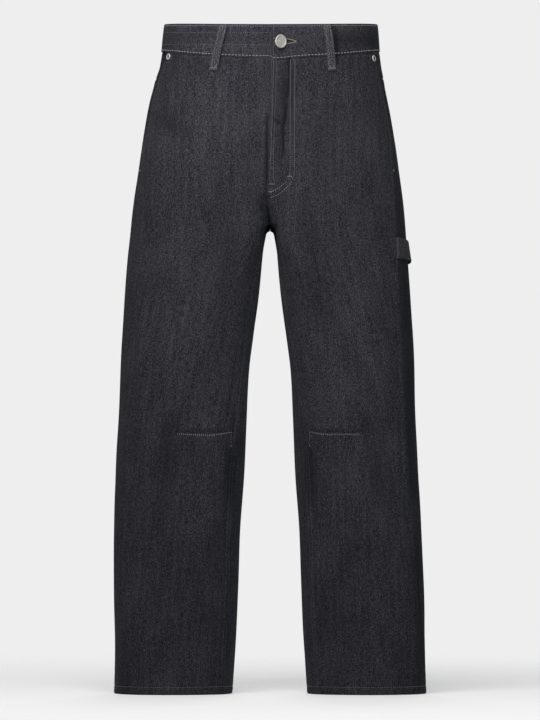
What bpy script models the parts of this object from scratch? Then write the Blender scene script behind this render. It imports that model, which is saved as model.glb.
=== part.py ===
"""Baggy carpenter jeans, filled out as if worn, hollow, held at the waist.

The front faces -Y, the wearer's left is +X and +Z is up. The origin is the middle of the waistband, halfway
between its front and back. Tables and sizes are in millimetres, and the meshes are made in metres.
"""

import math
from collections import namedtuple

import bmesh
import bpy
import numpy as np
from mathutils import Vector

MM = 0.001

# Driving sizes
GAP = 0.3               # between neighbouring pieces
CLOTH = 1.2             # one layer of denim
LIE_GAP = 0.8           # under a piece that lies on a faceted panel
SEAT_GAP = 0.4          # under a rivet, and under the sewn ends of the hammer loop
FACING_GAP = 1.3        # behind a panel, before the piece that backs it
ROUNDNESS = 2.25        # exponent of the oval sections, 2 is an ellipse
CROTCH_SQUARENESS = 2.5 # added to it on the inner thigh at the crotch, where the legs press together
SQUARE_REACH = 140.0    # how far down the leg the inner thigh stays squarer
ARCH_WIDTH = 3.4        # half width of the small arch where the legs part
ARCH_HEIGHT = 1.8
ARCH_FADE = 120.0
ARCH_REACH = 18.0
HEM_Z = -981.0
HEM_FOLD = 10.0         # height of the turned hem
HEM_WALL = 2.6
CROTCH_Z = -288.0
SEAT_RISE = 220.0       # above the crotch, where both legs have become one body
YOKE_SIDE_Z = -60.0
YOKE_CENTRE_Z = -98.0
YOKE_FADE_Z = -205.0    # rows of the back panel are evenly spread again below this
POCKET_END_Z = -190.0   # lower end of the side pocket's mouth

BAND_WALL = 2.2
BAND_PROUD = 1.0        # how far the waistband stands out from the panels
BAND_SIDE_TOP = 21.5
BAND_SIDE_FOOT = -20.3
BAND_FRONT_TOP_DIP = 3.1
BAND_FRONT_FOOT_DIP = 11.4
BAND_BACK_TOP_RISE = 3.5
BAND_BACK_FOOT_RISE = 3.0
UNDERLAP_END_X = 45.0
OVERLAP_END_X = 2.2
OVERLAP_DROP = 3.5      # the free end of the top layer hangs this much lower
OVERLAP_DROP_REACH = 0.16
UNDERLAP_SHIFT = BAND_WALL + 0.5
TUCK_START_X = -34.0    # from here the under layer sinks behind the upper one
TUCK_LENGTH = 26.0

BUTTON_Z = -7.8
BUTTON_RADIUS = 10.2
BUTTON_FOOT_X = 8.0
BUTTON_TURN = math.radians(37.0)
BUTTON_HEIGHT = 11.6
BUTTON_FOOT_RADIUS = 3.6
HOLE_WIDE_X = (4.5, 16.0)
HOLE_WIDE_HALF = 4.0
HOLE_SLIT_X = 36.0
HOLE_SLIT_HALF = 1.1

LEFT = 1.0
RIGHT = -1.0
SIDE_NAMES = {LEFT: "left", RIGHT: "right"}

# Half widths from the middle and depths in front and behind, at heights down the garment
Section = namedtuple("Section", "z outer_left outer_right front back")
SECTIONS = (
    Section(26.0, 160.4, 157.4, 99.0, 97.0),
    Section(-20.0, 163.8, 162.2, 104.0, 104.0),
    Section(-43.5, 166.8, 165.9, 107.0, 111.0),
    Section(-61.5, 170.0, 171.5, 109.0, 117.0),
    Section(-97.5, 177.5, 181.5, 112.0, 127.0),
    Section(-133.5, 184.7, 188.4, 113.0, 134.0),
    Section(-169.5, 190.5, 194.1, 113.0, 138.0),
    Section(-205.5, 194.6, 198.5, 112.0, 138.0),
    Section(-241.5, 198.5, 203.0, 110.0, 133.0),
    Section(-288.0, 202.9, 207.9, 107.0, 124.0),
    Section(-331.5, 206.6, 213.5, 104.0, 117.0),
    Section(-391.5, 211.1, 218.1, 100.0, 109.0),
    Section(-451.5, 214.4, 221.4, 96.0, 102.0),
    Section(-511.5, 217.1, 224.6, 92.0, 97.0),
    Section(-571.5, 219.3, 227.6, 90.0, 93.0),
    Section(-631.5, 221.7, 230.6, 87.0, 90.0),
    Section(-691.5, 224.3, 232.4, 84.0, 88.0),
    Section(-751.5, 227.1, 233.1, 81.5, 86.0),
    Section(-811.5, 230.0, 233.4, 79.0, 84.0),
    Section(-871.5, 232.4, 233.5, 77.0, 82.0),
    Section(-981.0, 234.6, 233.5, 75.0, 80.0),
)

# Half of the space between the legs, below the crotch
Inside = namedtuple("Inside", "z inner_left inner_right")
INSIDES = (
    Inside(-288.0, 0.15, 0.15),
    Inside(-309.0, 4.0, 4.1),
    Inside(-331.5, 7.8, 8.2),
    Inside(-391.5, 16.6, 17.0),
    Inside(-451.5, 25.5, 25.9),
    Inside(-511.5, 31.8, 32.3),
    Inside(-571.5, 34.8, 35.3),
    Inside(-631.5, 37.5, 38.1),
    Inside(-691.5, 40.2, 41.0),
    Inside(-751.5, 43.2, 44.0),
    Inside(-811.5, 46.2, 47.0),
    Inside(-871.5, 49.4, 50.1),
    Inside(-981.0, 55.8, 56.4),
)

# Where the seams run round each section, in degrees from the outer side, forward positive
Seam = namedtuple("Seam", "z side_left side_right mouth_left mouth_right inseam")
SEAMS = (
    Seam(26.0, 0.0, -4.0, 20.0, 20.0, 180.0),
    Seam(-20.0, 0.0, -4.0, 18.5, 18.5, 180.0),
    Seam(-60.0, 3.0, -1.0, 15.0, 14.0, 180.0),
    Seam(-97.5, 6.0, 2.0, 13.5, 11.5, 180.0),
    Seam(-133.5, 10.0, 5.0, 15.0, 12.0, 180.0),
    Seam(-169.5, 17.0, 10.0, 19.0, 13.0, 180.0),
    Seam(-190.0, 21.0, 14.0, 21.0, 14.0, 180.0),
    Seam(-241.0, 29.0, 10.0, 29.0, 10.0, 180.0),
    Seam(-288.0, 35.0, 6.5, 35.0, 6.5, 180.0),
    Seam(-316.0, 38.0, 5.0, 38.0, 5.0, 169.0),
    Seam(-406.0, 41.5, 2.0, 41.5, 2.0, 153.0),
    Seam(-451.0, 40.5, 1.0, 40.5, 1.0, 149.0),
    Seam(-541.0, 36.5, 0.0, 36.5, 0.0, 145.0),
    Seam(-601.0, 34.5, 0.0, 34.5, 0.0, 141.0),
    Seam(-676.0, 32.8, 0.0, 32.8, 0.0, 140.0),
    Seam(-751.0, 30.5, 0.0, 30.5, 0.0, 140.0),
    Seam(-841.0, 28.0, 0.0, 28.0, 0.0, 140.0),
    Seam(-981.0, 12.0, 0.0, 12.0, 0.0, 140.0),
)

# The fork line parts the inner thigh from the front or back of a panel, at a distance from the middle
Fork = namedtuple("Fork", "z x")
FORKS = (
    Fork(26.0, 20.0),
    Fork(-288.0, 20.0),
    Fork(-331.0, 34.0),
    Fork(-406.0, 54.0),
    Fork(-451.0, 63.0),
    Fork(-541.0, 80.0),
    Fork(-601.0, 87.0),
    Fork(-981.0, 104.0),
)

# How far the centre front seam wanders sideways
Centre = namedtuple("Centre", "z shift")
CENTRES = (
    Centre(26.0, 2.0),
    Centre(-20.0, 2.0),
    Centre(-110.0, 1.5),
    Centre(-150.0, -0.5),
    Centre(-190.0, -3.0),
    Centre(-235.0, -5.0),
    Centre(-270.0, -2.0),
    Centre(-288.0, 0.0),
    Centre(-320.0, 0.0),
    Centre(-981.0, 0.0),
)
CENTRE_REACH = 45.0

# Soft folds as straight troughs seen from the front or back; a negative depth is a ridge
Fold = namedtuple("Fold", "face x1 z1 x2 z2 reach depth")
FRONT = -1.0
BACK = 1.0
FOLDS = (
    Fold(FRONT, -8.0, -280.0, -34.0, -222.0, 13.0, 3.0),
    Fold(FRONT, 9.0, -280.0, 28.0, -215.0, 13.0, 2.5),
    Fold(FRONT, 28.0, -215.0, 38.0, -160.0, 12.0, 1.5),
    Fold(FRONT, -62.0, -262.0, -80.0, -190.0, 26.0, 3.0),
    Fold(FRONT, -146.0, -588.0, -148.0, -540.0, 15.0, 3.5),
    Fold(FRONT, -150.0, -600.0, -163.0, -665.0, 20.0, 2.0),
    Fold(FRONT, 143.0, -588.0, 143.0, -540.0, 15.0, 3.5),
    Fold(FRONT, 150.0, -600.0, 164.0, -665.0, 20.0, 2.0),
    Fold(FRONT, -48.0, -620.0, -62.0, -770.0, 17.0, 3.0),
    Fold(FRONT, 52.0, -620.0, 68.0, -770.0, 17.0, 3.0),
    Fold(FRONT, -100.0, -575.0, -105.0, -480.0, 30.0, -2.5),
    Fold(FRONT, 100.0, -575.0, 104.0, -480.0, 30.0, -2.5),
    Fold(BACK, -30.0, -300.0, -120.0, -270.0, 20.0, 4.0),
    Fold(BACK, 30.0, -296.0, 116.0, -276.0, 20.0, 3.5),
    Fold(BACK, -70.0, -345.0, -150.0, -322.0, 22.0, 2.5),
    Fold(BACK, 66.0, -350.0, 140.0, -318.0, 22.0, 3.0),
    Fold(BACK, -85.0, -590.0, -165.0, -570.0, 20.0, 3.5),
    Fold(BACK, 80.0, -575.0, 160.0, -592.0, 20.0, 3.5),
    Fold(BACK, -80.0, -655.0, -150.0, -635.0, 22.0, 2.5),
    Fold(BACK, 90.0, -640.0, 165.0, -662.0, 22.0, 2.5),
)
FACE_FADE = 35.0

# Rows of the panels: heights from the yoke line down, close together at the crotch and the hem
ROW_HEIGHTS = (
    -60.0, -85.0, -110.0, -135.0, -160.0, -180.0, -190.0, -206.0, -222.0, -238.0, -252.0, -264.0, -273.0,
    -280.0, -284.5, -287.0, -288.0, -289.0, -291.0, -294.5, -301.0, -313.0, -331.0, -356.0, -390.0, -428.0,
    -466.0, -504.0, -540.0, -570.0, -592.0, -618.0, -655.0, -700.0, -750.0, -805.0, -860.0, -915.0, -970.2,
    -971.0, HEM_Z,
)
KNEE_ROW = ROW_HEIGHTS.index(-592.0)
UPPER_SHARES = (0.0, 0.5)
FRONT_CELLS = (4, 8)    # columns of a panel inside and outside its fork line
BACK_CELLS = (5, 9)

FLY_RAISE = 0.8
FLY_WIDTH = 31.0
FLY_FOOT_Z = -240.0
FLY_EDGE = 6.0
SHIELD_Z = (-38.0, -205.0)
SHIELD_X = (2.0, 42.0)

FACING_TUCK = math.radians(9.0)     # how far the facing runs on behind the front panel
FACING_BEHIND = math.radians(3.0)   # and past the side seam

DENIM = (0.032, 0.034, 0.046, 1.0)
DENIM_DARK = (0.022, 0.024, 0.032, 1.0)
METAL = (0.62, 0.60, 0.55, 1.0)


def smooth_column(rows, name, z):
    """One named column of a table read at the heights z, smooth and without overshoot."""
    heights = -np.array([row.z for row in rows])
    values = np.array([getattr(row, name) for row in rows])
    steps = np.diff(heights)
    slopes = np.diff(values) / steps
    tangents = np.zeros(len(rows))
    product = slopes[:-1] * slopes[1:]
    total = slopes[:-1] + slopes[1:]
    tangents[1:-1] = np.where(product > 0.0, 2.0 * product / np.where(total == 0.0, 1.0, total), 0.0)
    tangents[0] = slopes[0]
    tangents[-1] = slopes[-1]
    depth = np.clip(-np.asarray(z, dtype=float), heights[0], heights[-1])
    place = np.clip(np.searchsorted(heights, depth, side="right") - 1, 0, len(rows) - 2)
    width = steps[place]
    share = (depth - heights[place]) / width
    rest = 1.0 - share
    start = values[place] * (1.0 + 2.0 * share) * rest ** 2
    end = values[place + 1] * (3.0 - 2.0 * share) * share ** 2
    bend = share * rest * width * (tangents[place] * rest - tangents[place + 1] * share)
    return start + end + bend


def signed_power(value, power):
    return np.sign(value) * np.abs(value) ** power


def ring_sizes(side, z):
    """Middle and half width of the oval that one side's cloth follows at height z."""
    is_left = side > 0.0
    outer_left, outer_right = (smooth_column(SECTIONS, name, z) for name in ("outer_left", "outer_right"))
    inner_left, inner_right = (smooth_column(INSIDES, name, z) for name in ("inner_left", "inner_right"))
    outer = np.where(is_left, outer_left, outer_right)
    inner = np.where(is_left, inner_left, inner_right)
    share = np.clip((z - CROTCH_Z) / SEAT_RISE, 0.0, 1.0)
    joined = share * share * (3.0 - 2.0 * share)
    inner = inner * (1.0 - joined) - outer * joined
    return (outer + inner) / 2.0, (outer - inner) / 2.0


def ring_exponent(cosine, z):
    """Exponent of the oval: squarer on the inner thigh near the crotch."""
    below = np.clip(CROTCH_Z - z, 0.0, None)
    squarer = CROTCH_SQUARENESS * np.exp(-(below / SQUARE_REACH) ** 1.2)
    return np.where(cosine < 0.0, ROUNDNESS + squarer, ROUNDNESS)


def fold_relief(x, y, z):
    """How far the cloth is moved out at a place by its soft folds."""
    relief = np.zeros(np.shape(x))
    for fold in FOLDS:
        run_x = fold.x2 - fold.x1
        run_z = fold.z2 - fold.z1
        along = ((x - fold.x1) * run_x + (z - fold.z1) * run_z) / (run_x ** 2 + run_z ** 2)
        along = np.clip(along, 0.0, 1.0)
        apart = (x - fold.x1 - along * run_x) ** 2 + (z - fold.z1 - along * run_z) ** 2
        facing = np.clip(y * fold.face / FACE_FADE, 0.0, 1.0)
        relief = relief - fold.depth * np.exp(-apart / fold.reach ** 2) * facing
    return relief


def soft_window(value, low, high, edge):
    """One between low and high, falling to nought over the edge on either side."""
    rise = np.clip((value - low) / edge + 0.5, 0.0, 1.0)
    fall = np.clip((high - value) / edge + 0.5, 0.0, 1.0)
    return rise * rise * (3.0 - 2.0 * rise) * fall * fall * (3.0 - 2.0 * fall)


def fly_relief(side, x, y, z):
    """The doubled cloth of the fly, on the wearer's left front."""
    across = soft_window(x, -FLY_EDGE, FLY_WIDTH, FLY_EDGE)
    down = soft_window(z, FLY_FOOT_Z, 0.0, 2.0 * FLY_EDGE)
    return FLY_RAISE * across * down * (side > 0.0) * (y < 0.0)


def arch_shift(side, x, inner, z):
    """The inner thighs draw apart in a small arch right under the crotch."""
    below = np.clip(CROTCH_Z - z, 0.0, None)
    opening = ARCH_WIDTH * (1.0 - np.exp(-below / ARCH_HEIGHT)) * np.exp(-(below / ARCH_FADE) ** 2)
    return side * opening * np.exp(-((side * x - inner) / ARCH_REACH) ** 2)


def cloth_point(side, theta, z):
    """A point of the cloth's outer face; theta is nought at the outer side and a right angle at the front."""
    middle, half = ring_sizes(side, z)
    cosine = np.cos(theta)
    sine = np.sin(theta)
    exponent = ring_exponent(cosine, z)
    depth = np.where(sine > 0.0, smooth_column(SECTIONS, "front", z), smooth_column(SECTIONS, "back", z))
    across = signed_power(cosine, 2.0 / exponent)
    ahead = signed_power(sine, 2.0 / exponent)
    x = side * (middle + half * across)
    y = -depth * ahead
    out_x = side * signed_power(across, exponent - 1.0) / half
    out_y = -signed_power(ahead, exponent - 1.0) / depth
    length = np.sqrt(out_x ** 2 + out_y ** 2)
    relief = fold_relief(x, y, z) + fly_relief(side, x, y, z)
    in_front = np.clip(-y / FACE_FADE, 0.0, 1.0)
    x_shift = smooth_column(CENTRES, "shift", z) * np.exp(-(x / CENTRE_REACH) ** 2) * in_front
    x_shift = x_shift + arch_shift(side, x, middle - half, z)
    return np.stack([x + x_shift + relief * out_x / length, y + relief * out_y / length, z], axis=-1)


def cloth_frame(side, theta, z):
    """Point, outward normal and the direction of growing theta."""
    given = [np.asarray(value, float) for value in (side, theta, z)]
    side, theta, z = np.broadcast_arrays(*given)
    turn = 0.02
    rise = 1.0
    point = cloth_point(side, theta, z)
    round_way = cloth_point(side, theta + turn, z) - cloth_point(side, theta - turn, z)
    up_way = cloth_point(side, theta, z + rise) - cloth_point(side, theta, z - rise)
    normal = np.cross(round_way, up_way) * -side[..., None]
    normal = normal / np.linalg.norm(normal, axis=-1, keepdims=True)
    forward = round_way / np.linalg.norm(round_way, axis=-1, keepdims=True)
    return point, normal, forward


def level(normal):
    """The normal turned level, so that an edge's two sides end at one height."""
    flat = normal * np.array([1.0, 1.0, 0.0])
    return flat / np.linalg.norm(flat, axis=-1, keepdims=True)


def theta_at_x(side, x, z, face):
    """The angle at which the cloth stands at a distance x from the middle, on the front or back."""
    middle, half = ring_sizes(side, z)
    across = np.clip((side * np.asarray(x, float) - middle) / half, -1.0, 1.0)
    angle = np.arccos(signed_power(across, ring_exponent(across, z) / 2.0))
    return -face * angle


def side_angle(side, z):
    return np.radians(smooth_column(SEAMS, "side_left" if side > 0.0 else "side_right", z))


def mouth_angle(side, z):
    return np.radians(smooth_column(SEAMS, "mouth_left" if side > 0.0 else "mouth_right", z))


def inner_angle(side, z, face):
    """Where a front or back panel ends: the centre seam above the crotch, the inseam below it."""
    centre = theta_at_x(side, side * GAP / 2.0, z, face)
    inseam = np.radians(smooth_column(SEAMS, "inseam", z))
    if face > 0.0:
        inseam = inseam - 2.0 * math.pi
    return np.where(z > CROTCH_Z + 1e-6, centre, inseam)


def fork_angle(side, z, face):
    return theta_at_x(side, side * smooth_column(FORKS, "x", z), z, face)


def band_foot(side, theta):
    """Lower edge of the waistband, with the free end of the wearer's left hanging a little lower."""
    ahead = np.clip(np.sin(theta), 0.0, 1.0)
    behind = np.clip(-np.sin(theta), 0.0, 1.0)
    end = np.exp(-(np.cos(theta) / OVERLAP_DROP_REACH) ** 2) * (ahead > 0.0) * (side > 0.0)
    level_foot = BAND_SIDE_FOOT - BAND_FRONT_FOOT_DIP * ahead ** 2.2 + BAND_BACK_FOOT_RISE * behind ** 2.0
    return level_foot - OVERLAP_DROP * end


def band_top(theta):
    ahead = np.clip(np.sin(theta), 0.0, 1.0)
    behind = np.clip(-np.sin(theta), 0.0, 1.0)
    return BAND_SIDE_TOP - BAND_FRONT_TOP_DIP * ahead ** 2.2 + BAND_BACK_TOP_RISE * behind ** 2.0


def material(name, colour, roughness, metallic):
    made = bpy.data.materials.new(name)
    made.use_nodes = True
    shader = made.node_tree.nodes["Principled BSDF"]
    shader.inputs["Base Color"].default_value = colour
    shader.inputs["Roughness"].default_value = roughness
    shader.inputs["Metallic"].default_value = metallic
    return made


def add_object(name, mesh, colour, roughness=0.9, metallic=0.0):
    mesh.materials.append(material(name + "_finish", colour, roughness, metallic))
    made = bpy.data.objects.new(name, mesh)
    PARTS.objects.link(made)
    return made


def add_wall(name, outer, inner, colour, missing=()):
    """A closed wall from two like grids of points; cells named in missing are left open right through."""
    rows, columns = outer.shape[:2]
    gone = set(missing)
    builder = bmesh.new()
    corners = {}
    for layer, grid in enumerate((outer, inner)):
        for row in range(rows):
            for column in range(columns):
                corners[layer, row, column] = builder.verts.new(grid[row, column] * MM)
    present = {(row, column) for row in range(rows - 1) for column in range(columns - 1)} - gone
    for row, column in sorted(present):
        ring = ((row, column), (row + 1, column), (row + 1, column + 1), (row, column + 1))
        builder.faces.new([corners[0, r, c] for r, c in ring])
        builder.faces.new([corners[1, r, c] for r, c in reversed(ring)])
        neighbours = ((row, column - 1), (row + 1, column), (row, column + 1), (row - 1, column))
        for edge, neighbour in enumerate(neighbours):
            if neighbour not in present:
                first = ring[edge]
                second = ring[(edge + 1) % 4]
                rim = [corners[0, *second], corners[0, *first], corners[1, *first], corners[1, *second]]
                builder.faces.new(rim)
    loose = [vertex for vertex in builder.verts if not vertex.link_faces]
    bmesh.ops.delete(builder, geom=loose, context="VERTS")
    bmesh.ops.triangulate(builder, faces=builder.faces[:])
    bmesh.ops.recalc_face_normals(builder, faces=builder.faces[:])
    mesh = bpy.data.meshes.new(name)
    builder.to_mesh(mesh)
    builder.free()
    mesh.shade_smooth()
    mesh.set_sharp_from_angle(angle=math.radians(35.0))
    return add_object(name, mesh, colour)


def wall_thickness(z):
    """The turned hem is thicker than the single cloth above it."""
    return np.where(z < HEM_Z + HEM_FOLD + 0.4, HEM_WALL, CLOTH)


def grid_zone(side, first_of, last_of, heights_of, cells):
    """Angles and heights between two lines down a panel, at even steps along each row's length."""
    samples = np.linspace(0.0, 1.0, 121)[None, :]
    z = heights_of(side, np.zeros((1, 1)))
    for _ in range(5):
        first = first_of(side, z[:, :1])
        last = last_of(side, z[:, -1:])
        angle = first + (last - first) * samples
        z = heights_of(side, angle)
    steps = np.linalg.norm(np.diff(cloth_point(side, angle, z), axis=1), axis=-1)
    length = np.concatenate([np.zeros((len(z), 1)), np.cumsum(steps, axis=1)], axis=1)
    shares = np.linspace(0.0, 1.0, cells + 1)
    theta = [np.interp(shares, run / run[-1], row) for run, row in zip(length, angle)]
    height = [np.interp(shares, run / run[-1], row) for run, row in zip(length, z)]
    return np.stack(theta), np.stack(height)


def panel_grid(side, face, cells, edge_of, heights_of):
    """A panel's grid from its inner seam by the fork line to its outer edge."""

    def inner_seam(one_side, z):
        return inner_angle(one_side, z, face)

    def fork_line(one_side, z):
        return fork_angle(one_side, z, face)

    inner_theta, inner_z = grid_zone(side, inner_seam, fork_line, heights_of, cells[0])
    outer_theta, outer_z = grid_zone(side, fork_line, edge_of, heights_of, cells[1])
    theta = np.concatenate([inner_theta, outer_theta[:, 1:]], axis=1)
    return theta, np.concatenate([inner_z, outer_z[:, 1:]], axis=1)


def front_heights(side, angle):
    """Row heights down the front: evenly from the waistband to the yoke line, then the common rows."""
    foot = band_foot(side, angle[:1]) - GAP
    upper = foot + (YOKE_SIDE_Z - foot) * np.array(UPPER_SHARES)[:, None]
    common = np.broadcast_to(np.array(ROW_HEIGHTS)[:, None], (len(ROW_HEIGHTS), angle.shape[1]))
    return np.concatenate([upper, common])


def yoke_line(angle):
    """Height of the yoke seam, lowest at the centre back."""
    behind = np.clip(-np.sin(angle), 0.0, 1.0)
    return YOKE_SIDE_Z + (YOKE_CENTRE_Z - YOKE_SIDE_Z) * behind ** 1.5


def back_heights(side, angle):
    """Row heights down the back, spread from the yoke seam."""
    base = np.array(ROW_HEIGHTS)[:, None]
    share = np.clip((base - YOKE_FADE_Z) / (YOKE_SIDE_Z - YOKE_FADE_Z), 0.0, 1.0)
    height = base + (yoke_line(angle) - YOKE_SIDE_Z) * share
    height[0] = height[0] - GAP / 2.0
    return height


def yoke_heights(side, angle):
    """Row heights of the yoke, from the waistband to the yoke seam."""
    shares = np.array(UPPER_SHARES + (1.0,))[:, None]
    foot = band_foot(side, angle[:1]) - GAP
    return foot + (yoke_line(angle[-1:]) + GAP / 2.0 - foot) * shares


def add_panel(name, side, face, cells, edge_of, heights_of, colour, rows=slice(None), cut_rows=()):
    """A cloth panel between its inner and outer seams, each edge drawn back by half the gap.

    rows names the grid's rows that it has, and cut_rows its first or last row where it is parted from the
    rest of the same cloth.
    """
    theta, z = panel_grid(side, face, cells, edge_of, heights_of)
    theta = theta[rows]
    z = z[rows].copy()
    for row in cut_rows:
        z[row] = z[row] + (GAP / 2.0 if row else -GAP / 2.0)
    point, normal, forward = cloth_frame(side, theta, z)
    half_gap = GAP / 2.0
    toward_side = forward * -np.sign(theta[:, :1, None] - theta[:, -1:, None])
    below = (z[:, 0] <= CROTCH_Z + 1e-6)[:, None]
    point[:, 0] = np.where(below, point[:, 0] + toward_side[:, 0] * half_gap, point[:, 0])
    point[:, -1] = point[:, -1] - toward_side[:, -1] * half_gap
    normal[0] = level(normal[0])
    normal[-1] = level(normal[-1])
    inner = point - normal * wall_thickness(z)[..., None]
    return add_wall(name, point, inner, colour)


def front_edge(side, z):
    """The front panel ends at the pocket's mouth above, and at the side seam below."""
    return np.where(z > POCKET_END_Z, mouth_angle(side, z), side_angle(side, z))


def add_body(side):
    """Front, back and yoke of one side; front and back are each two solids, parted at the knee."""
    name = SIDE_NAMES[side]
    front_knee = len(UPPER_SHARES) + KNEE_ROW
    add_panel("front_" + name, side, FRONT, FRONT_CELLS, front_edge, front_heights, DENIM,
              rows=slice(0, front_knee + 1), cut_rows=(-1,))
    add_panel("front_leg_" + name, side, FRONT, FRONT_CELLS, front_edge, front_heights, DENIM,
              rows=slice(front_knee, None), cut_rows=(0,))
    add_panel("back_" + name, side, BACK, BACK_CELLS, side_angle, back_heights, DENIM,
              rows=slice(0, KNEE_ROW + 1), cut_rows=(-1,))
    add_panel("back_leg_" + name, side, BACK, BACK_CELLS, side_angle, back_heights, DENIM,
              rows=slice(KNEE_ROW, None), cut_rows=(0,))
    add_panel("yoke_" + name, side, BACK, BACK_CELLS, side_angle, yoke_heights, DENIM)


def patch_on_cloth(name, side, theta, z, lift, wall, colour):
    """A piece that lies on the cloth, or under it where the lift is negative."""
    point, normal, _ = cloth_frame(side, theta, z)
    lift = np.broadcast_to(lift, z.shape)[..., None]
    return add_wall(name, point + normal * (lift + wall), point + normal * lift, colour)


def add_pocket_facing(side):
    """The cloth that shows in the mouth of a side pocket, behind the front panel's edge."""
    drop = CLOTH + FACING_GAP
    share = np.linspace(0.0, 1.0, 7)[:, None]
    across = np.linspace(0.0, 1.0, 6)[None, :]
    z = np.broadcast_to(BAND_SIDE_FOOT - 3.0 + (POCKET_END_Z - 10.0 - BAND_SIDE_FOOT) * share, (7, 6))
    start = mouth_angle(side, z) + FACING_TUCK
    end = side_angle(side, z) - FACING_BEHIND
    theta = start + (end - start) * across
    patch_on_cloth("pocket_facing_" + SIDE_NAMES[side], side, theta, z, -drop - CLOTH, CLOTH, DENIM_DARK)


def add_fly_shield():
    """The strip behind the fly, which carries the underlap of the waistband."""
    depth = CLOTH + FACING_GAP
    z = np.broadcast_to(np.linspace(*SHIELD_Z, 8)[:, None], (8, 4))
    x = np.broadcast_to(np.linspace(*SHIELD_X, 4)[None, :], (8, 4))
    theta = theta_at_x(LEFT, x, z, FRONT)
    patch_on_cloth("fly_shield", LEFT, theta, z, -depth - CLOTH, CLOTH, DENIM_DARK)


def band_stations():
    """Angles round the waist from the underlap's end, by the wearer's right, to the overlap's end."""
    lap_x = np.array((UNDERLAP_END_X, 32.0, 16.0, 4.0))
    lap = theta_at_x(LEFT, lap_x, np.zeros(4), FRONT)
    right_x = np.array((6.0, 18.0, 32.0))
    right_front = theta_at_x(RIGHT, -right_x, np.zeros(3), FRONT)
    quarter = np.radians(np.linspace(72.0, -90.0, 20))
    left_x = np.array((48.0, HOLE_SLIT_X, 26.0, HOLE_WIDE_X[1], HOLE_WIDE_X[0], OVERLAP_END_X))
    left_front = theta_at_x(LEFT, left_x, np.zeros(6), FRONT)
    sides = [LEFT] * 4 + [RIGHT] * 23 + [LEFT] * 25
    angles = np.concatenate([lap, right_front, quarter, quarter[-2::-1], left_front])
    return np.array(sides), angles


def add_waistband():
    """One strip whose wearer's left end lies over the right end, with a buttonhole through the top layer."""
    sides, angles = band_stations()
    count = len(angles)
    point_middle = cloth_frame(sides, angles, np.zeros(count))[0]
    half_way = np.arange(count) < count // 2
    near_lap = half_way & (point_middle[:, 1] < 0.0)
    tucked = np.where(near_lap, np.clip((point_middle[:, 0] - TUCK_START_X) / TUCK_LENGTH, 0.0, 1.0), 0.0)
    sunk = UNDERLAP_SHIFT * tucked * tucked * (3.0 - 2.0 * tucked)
    foot = band_foot(sides, angles)
    top = band_top(angles)
    levels = (top, BUTTON_Z + HOLE_WIDE_HALF, BUTTON_Z + HOLE_SLIT_HALF, BUTTON_Z - HOLE_SLIT_HALF,
              BUTTON_Z - HOLE_WIDE_HALF, foot)
    z = np.stack([np.broadcast_to(one, (count,)) for one in levels])
    point, normal, _ = cloth_frame(sides[None, :], angles[None, :], z)
    normal = level(normal)
    outer = point + normal * (BAND_PROUD - sunk)[None, :, None]
    inner = outer - normal * BAND_WALL
    wide_cell = count - 3
    hole = [(row, wide_cell) for row in (1, 2, 3)]
    hole += [(2, wide_cell - 1), (2, wide_cell - 2)]
    add_wall("waistband", outer, inner, DENIM, missing=hole)


def turned(name, profile, steps, colour, roughness, metallic):
    """A turned metal piece from its profile, listed from the top of its axis down the outer side."""
    mesh = bpy.data.meshes.new(name)
    points = [(radius * MM, 0.0, height * MM) for radius, height in profile]
    mesh.from_pydata(points, [(step, step + 1) for step in range(len(points) - 1)], [])
    made = add_object(name, mesh, colour, roughness, metallic)
    screw = made.modifiers.new("turn", "SCREW")
    screw.steps = steps
    screw.render_steps = steps
    screw.use_merge_vertices = True
    screw.merge_threshold = 0.00005
    screw.use_smooth_shade = True
    return made


def stand_on(made, place, axis):
    made.rotation_mode = "QUATERNION"
    made.rotation_quaternion = Vector((0.0, 0.0, 1.0)).rotation_difference(Vector(axis))
    made.location = Vector(place) * MM


def add_button():
    """A plain metal button on its neck, which comes through the buttonhole from the underlap."""
    face = BUTTON_HEIGHT
    profile = (
        (0.0, face - 0.6), (7.6, face - 0.6), (8.4, face - 0.1), (9.2, face), (BUTTON_RADIUS, face - 0.7),
        (BUTTON_RADIUS, face - 1.6), (9.0, face - 2.3), (2.6, face - 2.6), (2.6, 1.4),
        (BUTTON_FOOT_RADIUS, 0.8), (BUTTON_FOOT_RADIUS, 0.0), (0.0, 0.0),
    )
    button = turned("button", profile, 24, METAL, 0.35, 1.0)
    theta = theta_at_x(LEFT, np.array(BUTTON_FOOT_X), np.array(BUTTON_Z), FRONT)
    point, normal, _ = cloth_frame(LEFT, theta, np.array(BUTTON_Z))
    rim_dip = BUTTON_FOOT_RADIUS * math.sin(BUTTON_TURN)
    foot = point + level(normal) * (BAND_PROUD - UNDERLAP_SHIFT + GAP + rim_dip)
    stand_on(button, foot, (math.sin(BUTTON_TURN), -math.cos(BUTTON_TURN), 0.0))


def add_rivet(side, x, z):
    """A ring rivet at the top corner of a side pocket."""
    profile = (
        (0.0, 1.5), (1.2, 1.4), (1.7, 0.8), (2.7, 0.8), (3.4, 1.5), (4.4, 1.3), (5.0, 0.5), (5.0, 0.0),
        (0.0, 0.0),
    )
    rivet = turned("rivet_" + SIDE_NAMES[side], profile, 16, METAL, 0.4, 1.0)
    theta = theta_at_x(side, np.array(x), np.array(z), FRONT)
    point, normal, _ = cloth_frame(side, theta, np.array(z))
    stand_on(rivet, point + normal * SEAT_GAP, tuple(normal))


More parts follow.
